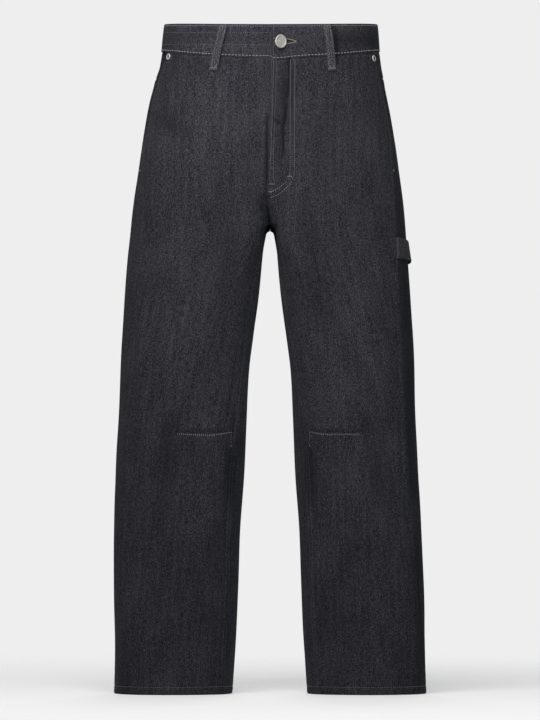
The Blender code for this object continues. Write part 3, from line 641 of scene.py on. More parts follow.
def cloth_shell(name, outer, wall, across, up, seam, missing=()):
    """A closed shell of cloth from the grid of its face side.

    wall is the vector from each point to the inner side, across and up are the cloth's own directions in
    millimetres, seam is the distance from the nearest seam, and the cells named in missing are cut out.
    """
    rows, columns = outer.shape[:2]
    points = np.concatenate([outer.reshape(-1, 3), (outer + wall).reshape(-1, 3)])
    behind = rows * columns
    cells = np.ones((rows + 1, columns + 1), dtype=bool)
    cells[0] = cells[-1] = False
    cells[:, 0] = cells[:, -1] = False
    for row, column in missing:
        cells[row + 1, column + 1] = False
    faces = []
    linings = []
    for row in range(rows - 1):
        for column in range(columns - 1):
            if not cells[row + 1, column + 1]:
                continue
            corner = row * columns + column
            ring = (corner, corner + columns, corner + columns + 1, corner + 1)
            faces.append(ring)
            linings.append(0)
            faces.append(tuple(point + behind for point in reversed(ring)))
            linings.append(1)
            sides = (cells[row + 1, column], cells[row + 2, column + 1], cells[row + 1, column + 2],
                     cells[row, column + 1])
            for edge, closed in enumerate(sides):
                if not closed:
                    first, second = ring[edge], ring[(edge + 1) % 4]
                    faces.append((second, first, first + behind, second + behind))
                    linings.append(0)
    first_step = outer[1, 0] - outer[0, 0]
    second_step = outer[0, 1] - outer[0, 0]
    if np.dot(np.cross(first_step, second_step), wall[0, 0]) > 0.0:
        faces = [tuple(reversed(face)) for face in faces]
    mesh = new_mesh(name, points, faces)
    mesh.polygons.foreach_set("material_index", linings)
    corners = np.empty(len(mesh.loops), dtype=int)
    mesh.loops.foreach_get("vertex_index", corners)
    flat = np.stack([across.ravel(), up.ravel()], axis=-1) * MM
    flat = np.concatenate([flat, flat])
    mesh.uv_layers.new(name="cloth").data.foreach_set("uv", flat[corners].ravel())
    worn = mesh.attributes.new("seam_distance", "FLOAT", "POINT")
    worn.data.foreach_set("value", np.concatenate([seam.ravel(), seam.ravel()]) * MM)
    # the tone attribute holds painted shade, and painted highlight where it is below nought
    tone = -fold_relief(PAINTED_SHADE_AND_HIGHLIGHT, END_FADE, *points.T)
    mesh.attributes.new("tone", "FLOAT", "POINT").data.foreach_set("value", tone)
    keep = bmesh.new()
    keep.from_mesh(mesh)
    loose = [vertex for vertex in keep.verts if not vertex.link_faces]
    bmesh.ops.delete(keep, geom=loose, context="VERTS")
    keep.to_mesh(mesh)
    keep.free()
    return mesh


def add_cloth(name, mesh, nodes, finishes):
    """A cloth piece in place of its solids, which are hidden."""
    piece = add_piece(name, mesh, finishes)
    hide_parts(*nodes)


def run_along(points, axis):
    """Distance along each row or column of a grid of points."""
    steps = np.linalg.norm(np.diff(points, axis=axis), axis=-1)
    start = np.zeros_like(np.take(steps, [0], axis=axis))
    return np.concatenate([start, np.cumsum(steps, axis=axis)], axis=axis)


def spread(length, count, seam_first, seam_last):
    """Places along a row of that length, closer together at a seam."""
    first = NEAR_SEAM if seam_first else (0.0,)
    last = NEAR_SEAM if seam_last else (0.0,)
    share = np.linspace(0.0, 1.0, count + 1) ** (1.35 if seam_last and not seam_first else 1.0)
    middle = first[-1] + (length - last[-1] - first[-1]) * share
    return np.concatenate([first[:-1], middle, length - np.array(last[-2::-1])])


def grid_zone(side, first_of, last_of, heights_of, count, seams):
    """Angles and heights between two lines down a panel."""
    samples = np.linspace(0.0, 1.0, 161)[None, :]
    z = heights_of(side, np.zeros((1, 1)))
    for _ in range(5):
        first = first_of(side, z[:, :1])
        last = last_of(side, z[:, -1:])
        angle = first + (last - first) * samples
        z = heights_of(side, angle)
    runs = run_along(plain_point(side, angle, z), 1)
    theta = []
    height = []
    for run, angles, heights in zip(runs, angle, z):
        places = spread(run[-1], count, *seams)
        theta.append(np.interp(places, run, angles))
        height.append(np.interp(places, run, heights))
    return np.stack(theta), np.stack(height)


Zones = namedtuple("Zones", "inner outer")
FRONT_ZONES = Zones(10, 58)
BACK_ZONES = Zones(11, 58)


def panel_grid(side, face, zones, edge_of, heights_of):
    """A panel's angles and heights from its inner seam to its outer edge, and the column of its fork line."""

    def inner_seam(one_side, z):
        return inner_angle(one_side, z, face)

    def fork_line(one_side, z):
        return fork_angle(one_side, z, face)

    inner_theta, inner_z = grid_zone(side, inner_seam, fork_line, heights_of, zones.inner, (True, False))
    outer_theta, outer_z = grid_zone(side, fork_line, edge_of, heights_of, zones.outer, (False, True))
    theta = np.concatenate([inner_theta, outer_theta[:, 1:]], axis=1)
    z = np.concatenate([inner_z, outer_z[:, 1:]], axis=1)
    return theta, z, inner_theta.shape[1] - 1


# Heights of the panels' rows below the yoke line
Span = namedtuple("Span", "top foot step")
SPANS = (
    Span(-60.0, -60.6, 0.6), Span(-60.6, -63.0, 1.2), Span(-63.0, -68.0, 2.5), Span(-68.0, -240.0, 4.3),
    Span(-240.0, -276.0, 3.0), Span(-276.0, -284.0, 1.6), Span(-284.0, -291.2, 0.6),
    Span(-291.2, -300.0, 1.4), Span(-300.0, -330.0, 3.0), Span(-330.0, -580.0, 5.0),
    Span(-580.0, -600.0, 1.6), Span(-600.0, -960.0, 5.0), Span(-960.0, -966.0, 2.0),
    Span(-966.0, -978.0, 0.8), Span(-978.0, -981.0, 0.5),
)
UPPER_SHARES = (0.0, 0.035, 0.07, 0.11, 0.2, 0.35, 0.5, 0.65, 0.8, 0.9, 0.96)


def panel_rows():
    rows = [SPANS[0].top]
    for span in SPANS:
        count = max(1, round((span.top - span.foot) / span.step))
        rows.extend(np.linspace(span.top, span.foot, count + 1)[1:])
    return np.array(rows)


PANEL_ROWS = panel_rows()

TUCK_RISE = 2.0         # how far a panel's upper edge reaches up behind the waistband
TUCK_DEPTH = 1.7


def tuck_relief(from_top):
    """The upper edge steps back behind the waistband."""
    return dip(TUCK_DEPTH, (from_top / (TUCK_RISE + GAP)) ** 2, 1.0)


def front_heights(side, angle):
    foot = band_foot(side, angle[:1]) - GAP + TUCK_RISE
    upper = foot + (YOKE_SIDE_Z - foot) * np.array(UPPER_SHARES)[:, None]
    common = np.broadcast_to(PANEL_ROWS[:, None], (len(PANEL_ROWS), angle.shape[1]))
    return np.concatenate([upper, common])


def yoke_line(angle):
    """Height of the yoke seam, lowest at the centre back."""
    behind = np.clip(-np.sin(angle), 0.0, 1.0)
    return YOKE_SIDE_Z + (YOKE_CENTRE_Z - YOKE_SIDE_Z) * behind ** 1.5


def back_heights(side, angle):
    base = PANEL_ROWS[:, None]
    share = np.clip((base - YOKE_FADE_Z) / (YOKE_SIDE_Z - YOKE_FADE_Z), 0.0, 1.0)
    height = base + (yoke_line(angle) - YOKE_SIDE_Z) * share
    height[0] = height[0] - GAP / 2.0
    return height


def yoke_heights(side, angle):
    shares = np.array(UPPER_SHARES + (0.985, 1.0))[:, None]
    foot = band_foot(side, angle[:1]) - GAP + TUCK_RISE
    return foot + (yoke_line(angle[-1:]) + GAP / 2.0 - foot) * shares


def hem_relief(across, z):
    """The turned hem: a groove at its stitches and slanting ripples below them."""
    up = z - HEM_Z
    groove = dip(0.45, up - HEM_FOLD - HEM_ROW_LIFT, 1.6)
    below = np.clip((HEM_FOLD + 2.0 - up) / 3.0, 0.0, 1.0)
    roping = 0.22 * np.sin(2.0 * math.pi * (across + 1.1 * up) / 8.5) * below
    return groove + roping + dip(0.9, up, 0.9)


PANEL_SHIFT = 700.0     # keeps the weave of the two sides from mirroring


def panel_mesh(name, side, panel):
    """One panel's shell, with the relief of its seams, stitch rows and hem."""
    theta, z, fork = panel_grid(side, panel.face, panel.zones, panel.edge_of, panel.heights_of)
    point, normal, forward = cloth_frame(side, theta, z)
    from_inner = run_along(point, 1)
    from_side = from_inner[:, -1:] - from_inner
    across = from_inner - from_inner[:, fork:fork + 1]
    relief = seam_relief(from_inner) * crotch_ease(0.0, z) + seam_relief(from_side) + hem_relief(across, z)
    nearest = np.minimum(np.minimum(from_inner, from_side), z - HEM_Z)
    if panel.seam_above:
        relief = relief + seam_relief(z[:1] - z)
        nearest = np.minimum(nearest, z[:1] - z)
    else:
        relief = relief + tuck_relief(z[:1] - z)
    if panel.seam_below:
        relief = relief + seam_relief(z - z[-1:])
        nearest = np.minimum(nearest, z - z[-1:])
    half_gap = forward * -np.sign(theta[:, :1, None] - theta[:, -1:, None]) * GAP / 2.0
    below = (z[:, 0] <= CROTCH_Z + 1e-6)[:, None]
    point[:, 0] = np.where(below, point[:, 0] + half_gap[:, 0], point[:, 0])
    point[:, -1] = point[:, -1] - half_gap[:, -1]
    normal[0] = level(normal[0])
    normal[-1] = level(normal[-1])
    outer = point + normal * relief[..., None]
    wall = np.where(z < HEM_Z + HEM_FOLD + 0.4, HEM_WALL, CLOTH)[..., None]
    return cloth_shell(name, outer, -normal * wall, across + side * panel.shift, z, nearest)


def front_edge(side, z):
    return np.where(z > POCKET_END_Z, mouth_angle(side, z), side_angle(side, z))


# What each pair of pieces was cut from: width, length and area of the cloth that shows, in metres
Cut = namedtuple("Cut", "width length area")


# Front, back and yoke of a side; the solids of the front and back are parted at the knee
Panel = namedtuple("Panel", "word face zones edge_of heights_of seam_above seam_below shift solids")
PANELS = (
    Panel("front", FRONT, FRONT_ZONES, front_edge, front_heights, False, False, PANEL_SHIFT,
          ("front", "front_leg")),
    Panel("back", BACK, BACK_ZONES, side_angle, back_heights, True, False, PANEL_SHIFT,
          ("back", "back_leg")),
    Panel("yoke", BACK, BACK_ZONES, side_angle, yoke_heights, False, True, 0.0, ("yoke",)),
)


def add_panels(side, finishes):
    for panel in PANELS:
        name = panel.word + "_panel_" + SIDE_NAMES[side]
        nodes = [solid + "_" + SIDE_NAMES[side] for solid in panel.solids]
        add_cloth(name, panel_mesh(name, side, panel), nodes, finishes)


def patch_mesh(name, side, theta, z, lift, wall):
    """A piece that lies on the cloth, or under it where the lift is negative."""
    point, normal, _ = cloth_frame(side, theta, z)
    across = run_along(point, 1)
    down = run_along(point, 0)
    nearest = np.minimum(np.minimum(across, across[:, -1:] - across), np.minimum(down, down[-1:] - down))
    relief = lift + wall + dip(0.5, nearest, 0.8)
    outer = point + normal * relief[..., None]
    return cloth_shell(name, outer, -normal * wall, across, z, nearest)


FACING_TUCK = math.radians(9.0)
FACING_BEHIND = math.radians(3.0)
BACKING_LIFT = -CLOTH - FACING_GAP - CLOTH


def add_pocket_facing(side, finishes):
    """The cloth that shows in the mouth of a side pocket."""
    share, across = grid(np.linspace(0.0, 1.0, 40), np.linspace(0.0, 1.0, 16))
    z = BAND_SIDE_FOOT - 3.0 + (POCKET_END_Z - 10.0 - BAND_SIDE_FOOT) * share
    start = mouth_angle(side, z) + FACING_TUCK
    theta = start + (side_angle(side, z) - FACING_BEHIND - start) * across
    name = "side_pocket_facing_" + SIDE_NAMES[side]
    mesh = patch_mesh(name, side, theta, z, BACKING_LIFT, CLOTH)
    add_cloth(name, mesh, ("pocket_facing_" + SIDE_NAMES[side],), finishes)


def add_fly_shield(finishes):
    z, x = grid(np.linspace(-38.0, -205.0, 36), np.linspace(2.0, 42.0, 12))
    mesh = patch_mesh("fly_underlap", LEFT, theta_at_x(LEFT, x, z, FRONT), z, BACKING_LIFT, CLOTH)
    add_cloth("fly_underlap", mesh, ("fly_shield",), finishes)


# Half height of the buttonhole at distances from the middle
Opening = namedtuple("Opening", "x half")
BUTTONHOLE = (
    Opening(4.5, 4.0), Opening(16.0, 4.0), Opening(22.5, 3.4), Opening(27.0, 2.6), Opening(32.0, 1.4),
    Opening(36.0, 0.6), Opening(48.0, 0.6),
)
HOLE_COLUMNS = 22


def hole_half(x):
    return np.interp(x, [row.x for row in BUTTONHOLE], [row.half for row in BUTTONHOLE])


def band_stations():
    """Angles round the waist from the underlap's end, by the wearer's right, to the overlap's end."""
    lap = theta_at_x(LEFT, np.linspace(UNDERLAP_END_X, 1.5, 16), np.zeros(16), FRONT)
    right_front = theta_at_x(RIGHT, -np.linspace(1.5, 32.0, 11), np.zeros(11), FRONT)
    quarter = np.radians(np.linspace(73.0, -90.0, 84))
    hole = np.linspace(BUTTONHOLE[5].x, BUTTONHOLE[0].x, HOLE_COLUMNS + 1)
    left_x = np.concatenate([np.linspace(46.0, 39.0, 4), hole, (3.9, 3.3, 2.7, OVERLAP_END_X)])
    left_front = theta_at_x(LEFT, left_x, np.zeros(len(left_x)), FRONT)
    sides = [LEFT] * 16 + [RIGHT] * (11 + 84) + [LEFT] * (83 + len(left_x))
    return np.array(sides), np.concatenate([lap, right_front, quarter, quarter[-2::-1], left_front])


EDGE_ROW = 3.0          # from the waistband's and hammer loop's edges to their stitches
BAND_SHARES = (0.0, 0.02, 0.05, 0.1, 0.18, 0.3, 0.5, 0.7, 0.86, 1.0)


def band_grid():
    """Points, normals, heights and places along the waistband, and the cells of its buttonhole."""
    sides, angles = band_stations()
    count = len(angles)
    place = cloth_frame(sides, angles, np.zeros(count))[0]
    near_lap = (np.arange(count) < count // 2) & (place[:, 1] < 0.0)
    tucked = np.where(near_lap, np.clip((place[:, 0] - TUCK_START_X) / TUCK_LENGTH, 0.0, 1.0), 0.0)
    sunk = UNDERLAP_SHIFT * smooth_step(tucked)
    top = band_top(angles)
    foot = band_foot(sides, angles)
    half = np.where(np.arange(count) > count // 2, hole_half(place[:, 0]), BUTTONHOLE[-1].half)
    shares = np.array(BAND_SHARES)[:, None]
    above = top + (BUTTON_Z + half - top) * shares
    inside = BUTTON_Z + half * np.array((0.34, -0.34))[:, None]
    under = foot + (BUTTON_Z - half - foot) * shares[::-1]
    z = np.concatenate([above, inside, under])
    point, normal, _ = cloth_frame(sides[None, :], angles[None, :], z)
    normal = level(normal)
    first_row = len(BAND_SHARES) - 1
    first_column = count - 4 - HOLE_COLUMNS - 1
    hole = [(row, column) for row in range(first_row, first_row + 3)
            for column in range(first_column, first_column + HOLE_COLUMNS)]
    return point, normal, z, sunk, hole


def add_waistband(finishes):
    """One strip, its left end over its right end, with rolled edges and grooves at its stitch rows."""
    point, normal, z, sunk, hole = band_grid()
    across = run_along(point, 1)
    from_top = z[:1] - z
    from_foot = z - z[-1:]
    edge = np.minimum(from_top, from_foot)
    ends = np.minimum(across, across[:, -1:] - across)
    relief = BAND_PROUD - sunk[None, :] + dip(0.7, edge, 1.1) + dip(0.6, ends, 0.8)
    relief = relief + stitched_relief(edge, EDGE_ROW) + 0.35 * np.clip(edge / 14.0, 0.0, 1.0)
    outer = point + normal * relief[..., None]
    wall = -normal * BAND_WALL
    mesh = cloth_shell("waistband_strip", outer, wall, across, z, np.minimum(edge, ends), missing=hole)
    add_cloth("waistband_strip", mesh, ("waistband",), finishes)


# Belt loops: where each leans from its top to its foot
Loop = namedtuple("Loop", "name face top_x foot_x")
LOOPS = (
    Loop("front_left", FRONT, 83.6, 92.5),
    Loop("front_right", FRONT, -68.9, -84.1),
    Loop("back_left", BACK, 96.0, 98.0),
    Loop("back_right", BACK, -97.0, -95.0),
    Loop("back_centre", BACK, 0.0, 0.0),
)
LOOP_WIDTH = 12.0
LOOP_WALL = 1.8

# How a loop stands off down its length: heights under the band's top edge, distances from the panels' face
Stand = namedtuple("Stand", "z off")
LOOP_STANDS = (
    Stand(-0.5, 1.4), Stand(-7.0, 1.6), Stand(-13.0, 3.0), Stand(-24.0, 3.9), Stand(-36.0, 3.9),
    Stand(-47.0, 3.0), Stand(-56.0, 1.6), Stand(-63.0, 0.6), Stand(-70.0, 0.6),
)
LOOP_STITCH = 3.6


def loop_frame(loop, fall, across):
    """Points and outward directions of a belt loop's inner face."""
    share = (fall - LOOP_STANDS[0].z) / (LOOP_STANDS[-1].z - LOOP_STANDS[0].z)
    x = loop.top_x + (loop.foot_x - loop.top_x) * share + across
    side = np.where(x >= 0.0, LEFT, RIGHT)
    top = band_top(theta_at_x(side, x, np.zeros(x.shape), loop.face))
    z = top + fall
    theta = theta_at_x(side, x, z, loop.face)
    point, normal, _ = cloth_frame(side, theta, z)
    centre = normal[:, normal.shape[1] // 2][:, None]
    off = smooth_column(LOOP_STANDS, "off", fall)
    return point + centre * off[..., None], np.broadcast_to(centre, point.shape), z


def add_belt_loop(loop, finishes):
    places = np.concatenate([(-0.5, -0.46, -0.4), np.linspace(-0.32, 0.32, 9), (0.4, 0.46, 0.5)])
    fall, across = grid(np.linspace(LOOP_STANDS[0].z, LOOP_STANDS[-1].z, 42), places * LOOP_WIDTH)
    inner, out, z = loop_frame(loop, fall, across)
    edge = LOOP_WIDTH / 2.0 - np.abs(across)
    relief = LOOP_WALL + dip(0.55, edge, 0.7) + stitched_relief(np.abs(across), LOOP_STITCH)
    relief = relief - dip(0.25, across, 2.0)
    outer = inner + out * relief[..., None]
    name = "belt_loop_strip_" + loop.name
    mesh = cloth_shell(name, outer, inner - outer, across, z, edge)
    add_cloth(name, mesh, ("belt_loop_" + loop.name,), finishes)


POCKET_WIDTH = 152.0
POCKET_HEIGHT = 138.0
POCKET_POINT = 18.0
POCKET_X = 92.0
POCKET_TOP_Z = -100.0


def pocket_place(side, across, down):
    """Angle and height of a back pocket's point; across runs from -1 to 1 and down from 0 to 1."""
    half_width = (POCKET_WIDTH / 2.0) * (1.0 - 0.12 * down)
    x = side * (POCKET_X + across * half_width)
    z = POCKET_TOP_Z - down * (POCKET_HEIGHT + POCKET_POINT * (1.0 - np.abs(across))) - 4.0 * across * side
    return theta_at_x(side, x, z, BACK), z


def add_back_pocket(side, finishes):
    down, across = grid(np.linspace(0.0, 1.0, 36), np.linspace(-1.0, 1.0, 35))
    theta, z = pocket_place(side, across, down)
    name = "back_patch_pocket_" + SIDE_NAMES[side]
    mesh = patch_mesh(name, side, theta, z, POCKET_LIFT, CLOTH)
    add_cloth(name, mesh, ("back_pocket_" + SIDE_NAMES[side],), finishes)


STRAP_TOP_Z = -298.0
STRAP_SLOPE = -10.0
STRAP_HEIGHT = 31.5
STRAP_WALL = 2.2
STRAP_TOP_SLACK = 0.6
STRAP_FOOT_SLACK = 3.1
STRAP_END = math.radians(-28.0)


def strap_place(along, down):
    """Angle, height and lift of the hammer loop's inner face."""
    z = STRAP_TOP_Z + STRAP_SLOPE * along - STRAP_HEIGHT * down
    start = side_angle(LEFT, z) - math.radians(1.0)
    theta = start + (STRAP_END - start) * along
    slack = np.sin(math.pi * along ** 1.6)
    lift = SEAT_GAP + slack * (STRAP_TOP_SLACK + (STRAP_FOOT_SLACK - STRAP_TOP_SLACK) * down)
    return theta, z, lift


def add_hammer_loop(finishes):
    places = np.concatenate([(0.0, 0.015, 0.04, 0.08), np.linspace(0.14, 0.86, 9), (0.92, 0.96, 0.985, 1.0)])
    down, along = grid(places, np.linspace(0.0, 1.0, 60))
    theta, z, lift = strap_place(along, down)
    point, normal, _ = cloth_frame(LEFT, theta, z)
    inner = point + normal * lift[..., None]
    edge = STRAP_HEIGHT * np.minimum(down, 1.0 - down)
    run = run_along(point, 1)
    ends = np.minimum(run, run[:, -1:] - run)
    relief = STRAP_WALL + dip(0.7, edge, 0.8) + dip(0.6, ends, 0.8) + stitched_relief(edge, EDGE_ROW)
    outer = inner + normal * relief[..., None]
    mesh = cloth_shell("hammer_loop_strap", outer, inner - outer, z, run, np.minimum(edge, ends))
    add_cloth("hammer_loop_strap", mesh, ("hammer_loop",), finishes)


# How far stitches lie over the cloth: on its face, where a seam makes it thicker, and on the waistband
ON_FACE = 0.1
OVER_SEAM = 0.25
ON_BAND = 0.35

# Stitches: how far apart, how long and how thick
Thread = namedtuple("Thread", "pitch length radius")
TOPSTITCH = Thread(3.8, 2.3, 0.40)
FINE_STITCH = Thread(3.4, 1.7, 0.27)
FAINT_STITCH = Thread(3.3, 1.5, 0.20)
FLY_STITCH = Thread(3.1, 1.7, 0.26)
BAND_STITCH = Thread(5.2, 3.0, 0.42)
ZIGZAG = Thread(2.0, 2.0, 0.30)
BARTACK = Thread(0.75, 0.75, 0.26)
KNEE_TACK = Thread(3.0, 3.0, 0.36)


def at_places(route, run, places):
    """A route's points or normals at places along its run."""
    return np.stack([np.interp(places, run, route[:, axis]) for axis in range(3)], axis=-1)


STITCH_RINGS = ((0.0, -0.75, 0.45), (0.2, 0.62, 1.0), (0.8, 0.62, 1.0), (1.0, -0.75, 0.45))
STITCH_SIDES = 5


def stitch_beads(starts, ends, normals, radius):
    """Short rounded threads from the starts to the ends, each dipping into the cloth at both ends."""
    along = ends - starts
    beside = unit(np.cross(along, normals))
    corner = 2.0 * math.pi * np.arange(STITCH_SIDES) / STITCH_SIDES
    rings = []
    for share, height, swell in STITCH_RINGS:
        middle = starts + along * share + normals * (height * radius)
        reach = radius * swell
        ring = [middle + reach * (math.cos(turn) * normals + math.sin(turn) * beside) for turn in corner]
        rings.append(np.stack(ring, axis=1))
    points = np.stack(rings, axis=1)
    size = len(STITCH_RINGS) * STITCH_SIDES
    pattern = []
    for ring in range(len(STITCH_RINGS) - 1):
        for spot in range(STITCH_SIDES):
            after = (spot + 1) % STITCH_SIDES
            low = ring * STITCH_SIDES
            high = low + STITCH_SIDES
            pattern.append((low + spot, low + after, high + after, high + spot))
    pattern.append(tuple(range(STITCH_SIDES - 1, -1, -1)))
    pattern.append(tuple(range(size - STITCH_SIDES, size)))
    faces = [tuple(bead * size + spot for spot in face) for bead in range(len(starts)) for face in pattern]
    return points.reshape(-1, 3), faces


class Sewing:
    """Stitches that are sewn row by row and become one piece."""

    def __init__(self, name, finish):
        self.name = name
        self.finish = finish
        self.points = []
        self.faces = []
        self.count = 0

    def keep(self, points, faces):
        self.points.append(points)
        self.faces.extend(tuple(spot + self.count for spot in face) for face in faces)
        self.count += len(points)

    def row(self, points, normals, thread=TOPSTITCH):
        """A row of stitches along a line."""
        run = run_along(points, 0)
        starts = np.arange(0.0, run[-1], thread.pitch)
        starts = starts[starts + thread.length <= run[-1] + 1e-6]
        if len(starts):
            first = at_places(points, run, starts)
            last = at_places(points, run, starts + thread.length)
            self.keep(*stitch_beads(first, last, unit(at_places(normals, run, starts)), thread.radius))

    def tack(self, points, normals, width, thread=BARTACK):
        """A bartack: close threads across a short line."""
        run = run_along(points, 0)
        places = np.arange(0.0, run[-1], thread.pitch)
        middle = at_places(points, run, places)
        out = unit(at_places(normals, run, places))
        beside = np.cross(out, unit(points[-1] - points[0])) * (width / 2.0)
        self.keep(*stitch_beads(middle - beside, middle + beside, out, thread.radius))

    def finish_piece(self):
        mesh = new_mesh(self.name, np.concatenate(self.points), self.faces)
        keep = bmesh.new()
        keep.from_mesh(mesh)
        bmesh.ops.recalc_face_normals(keep, faces=keep.faces[:])
        keep.to_mesh(mesh)
        keep.free()
        add_piece(self.name, mesh, (self.finish,))


def on_cloth(side, theta, z, lift=0.0):
    """Points and normals of a line on the cloth."""
    point, normal, _ = cloth_frame(side, theta, z)
    return point + normal * (np.zeros(np.shape(z)) + lift)[..., None], normal


def at_x(x, z, face, lift=0.0):
    """A line on the front or back from distances from the middle and heights."""
    x, z = np.broadcast_arrays(np.asarray(x, float), np.asarray(z, float))
    side = np.where(x >= 0.0, LEFT, RIGHT)
    return on_cloth(side, theta_at_x(side, x, z, face), z, lift)


def line_between(first, last, count=60):
    """Even points on a straight line between two flat places."""
    share = np.linspace(0.0, 1.0, count)
    return first[0] + (last[0] - first[0]) * share, first[1] + (last[1] - first[1]) * share


def sew_waistband(sewing):
    """Rows along both edges, at the overlapping end, and two fine rows on the wearer's right."""
    point, normal, z, sunk, _ = band_grid()
    shown = np.arange(point.shape[1]) >= 14
    top = band_row(point, normal, z, sunk, z[0] - EDGE_ROW)
    foot = band_row(point, normal, z, sunk, z[-1] + EDGE_ROW)
    sewing.row(top[0][shown], top[1][shown], FINE_STITCH)
    sewing.row(foot[0][shown], foot[1][shown], BAND_STITCH)
    for fall, first, last in ((13.0, 16, 62), (31.0, 16, 74)):
        points, normals = band_row(point, normal, z, sunk, z[0] - fall)
        sewing.row(points[first:last], normals[first:last], FAINT_STITCH)
    end = (slice(3, -3), -3)
    sewing.row(point[end] + normal[end] * BAND_PROUD, normal[end], FAINT_STITCH)


def band_row(point, normal, z, sunk, height):
    """A line along the waistband at one height for each column."""
    points = []
    for column in range(point.shape[1]):
        heights = z[::-1, column]
        points.append([np.interp(height[column], heights, point[::-1, column, axis]) for axis in range(3)])
    out = normal[0]
    return np.array(points) + out * (BAND_PROUD - sunk + 0.1)[:, None], out


LOOP_TACK_RISE = 3.0
LOOP_TACK_PITCH = 5.4


def sew_belt_loops(sewing):
    for loop in LOOPS:
        falls = np.linspace(LOOP_STANDS[0].z - 1.5, LOOP_STANDS[-1].z + 2.0, 40)
        for place in (-LOOP_STITCH, LOOP_STITCH):
            inner, out, _ = loop_frame(loop, *grid(falls, (place - 0.5, place, place + 0.5)))
            sewing.row(inner[:, 1] + out[:, 1] * (LOOP_WALL - 0.15), out[:, 1], FINE_STITCH)
        across = np.linspace(-5.4, 5.4, 37)[None, :]
        peaks = LOOP_TACK_RISE * np.abs(np.mod(across / LOOP_TACK_PITCH + 0.5, 1.0) * 2.0 - 1.0)
        for foot in (LOOP_STANDS[-1].z + 2.0, LOOP_STANDS[0].z - 4.5):
            inner, out, _ = loop_frame(loop, foot + peaks, across)
            sewing.row(inner[0] + out[0] * LOOP_WALL, out[0], ZIGZAG)


# The fly's stitching as it is seen from the front: two rows that curve in to the centre seam, two beside it
Spot = namedtuple("Spot", "x z")
FLY_ROWS = (
    (Spot(30.5, -36.0), Spot(30.0, -110.0), Spot(29.7, -165.0), Spot(29.6, -204.0), Spot(27.5, -213.5),
     Spot(18.1, -221.4), Spot(7.4, -229.0), Spot(-2.0, -233.7)),
    (Spot(37.0, -36.0), Spot(36.4, -110.0), Spot(36.1, -165.0), Spot(36.0, -204.0), Spot(33.0, -215.5),
     Spot(21.7, -228.0), Spot(11.0, -236.4), Spot(-2.0, -240.8)),
    (Spot(5.5, -36.0), Spot(4.2, -81.6), Spot(3.6, -115.8), Spot(1.2, -169.4), Spot(-1.0, -214.0)),
    (Spot(9.2, -36.0), Spot(8.4, -81.6), Spot(7.1, -115.8), Spot(5.4, -169.4), Spot(4.6, -214.0)),
)
CURVE_START_Z = -215.0
FLY_TACKS = (
    (Spot(25.6, -208.6), Spot(33.0, -208.6)),
    (Spot(-1.2, -220.0), Spot(6.4, -220.0)),
    (Spot(-1.6, -231.0), Spot(3.4, -231.0)),
)


def through(spots, count=90):
    """Even points on a smooth line through the spots."""
    x = np.array([spot.x for spot in spots])
    z = np.array([spot.z for spot in spots])
    run = np.concatenate([(0.0,), np.cumsum(np.hypot(np.diff(x), np.diff(z)))])
    fine = np.linspace(0.0, run[-1], count)
    kernel = np.exp(-np.linspace(-2.0, 2.0, 9) ** 2)
    kernel = kernel / kernel.sum()
    smooth = []
    for values in (x, z):
        line = np.interp(fine, run, values)
        padded = np.concatenate([2.0 * line[0] - line[4:0:-1], line, 2.0 * line[-1] - line[-2:-6:-1]])
        smooth.append(np.convolve(padded, kernel, mode="valid"))
    return smooth[0], smooth[1]


def as_seen(x, z):
    """A line on the front whose distances from the middle allow for the wandering centre seam."""
    shift = smooth_column(CENTRES, "shift", z) * np.exp(-(x / CENTRE_REACH) ** 2)
    return at_x(x - shift, z, FRONT, ON_FACE)


def sew_fly(sewing):
    for spots in FLY_ROWS:
        x, z = through(spots)
        straight = z > CURVE_START_Z
        sewing.row(*as_seen(x[straight], z[straight]), FLY_STITCH)
        if not straight.all():
            sewing.row(*as_seen(x[~straight], z[~straight]), TOPSTITCH)
    for first, last in FLY_TACKS:
        sewing.tack(*as_seen(*line_between(first, last)), 1.6)


def seam_line(side, face, z, inward, lift):
    """A line beside an inner seam, inward from it over its own panel."""
    theta = inner_angle(side, z, face)
    point = cloth_frame(side, theta, z)[0]
    turn = np.sign(fork_angle(side, z, face) - theta)
    step = np.linalg.norm(cloth_frame(side, theta + TURN_STEP * turn, z)[0] - point, axis=-1) / TURN_STEP
    return on_cloth(side, theta + turn * inward / step, z, lift)


# The knee darts' stitches, from the outer end in, and the short rows down from them
KNEE_ROWS = (
    (Spot(-137.2, -591.4), Spot(-123.6, -592.3), Spot(-88.5, -593.9), Spot(-74.5, -591.9),
     Spot(-56.6, -589.3)),
    (Spot(132.4, -592.0), Spot(110.0, -592.2), Spot(80.1, -592.5), Spot(58.7, -588.6)),
)
KNEE_DROPS = (
    (Spot(-56.6, -589.3), Spot(-57.2, -609.0)),
    (Spot(58.2, -588.6), Spot(57.5, -608.2)),
)


def sew_legs(sewing):
    """Rows beside the inseams."""
    for side in (LEFT, RIGHT):
        z = np.linspace(-296.0, -966.0, 300)
        for inward in (2.2, 8.0):
            sewing.row(*seam_line(side, BACK, z, inward, OVER_SEAM), FINE_STITCH)


def sew_knees_and_hems(sewing):
    for spots in KNEE_ROWS:
        sewing.tack(*at_x(*through(spots), FRONT, ON_FACE), 2.6, KNEE_TACK)
    for first, last in KNEE_DROPS:
        sewing.row(*at_x(*line_between(first, last), FRONT, ON_FACE), FINE_STITCH)
        sewing.tack(*at_x(*line_between((last.x, last.z), (last.x, last.z - 2.4)), FRONT, ON_FACE), 2.4)
    for side in (LEFT, RIGHT):
        hem = np.full(240, HEM_Z + HEM_FOLD + HEM_ROW_LIFT)
        sewing.row(*on_cloth(side, np.linspace(0.0, 2.0 * math.pi, 240), hem, 0.0), FINE_STITCH)


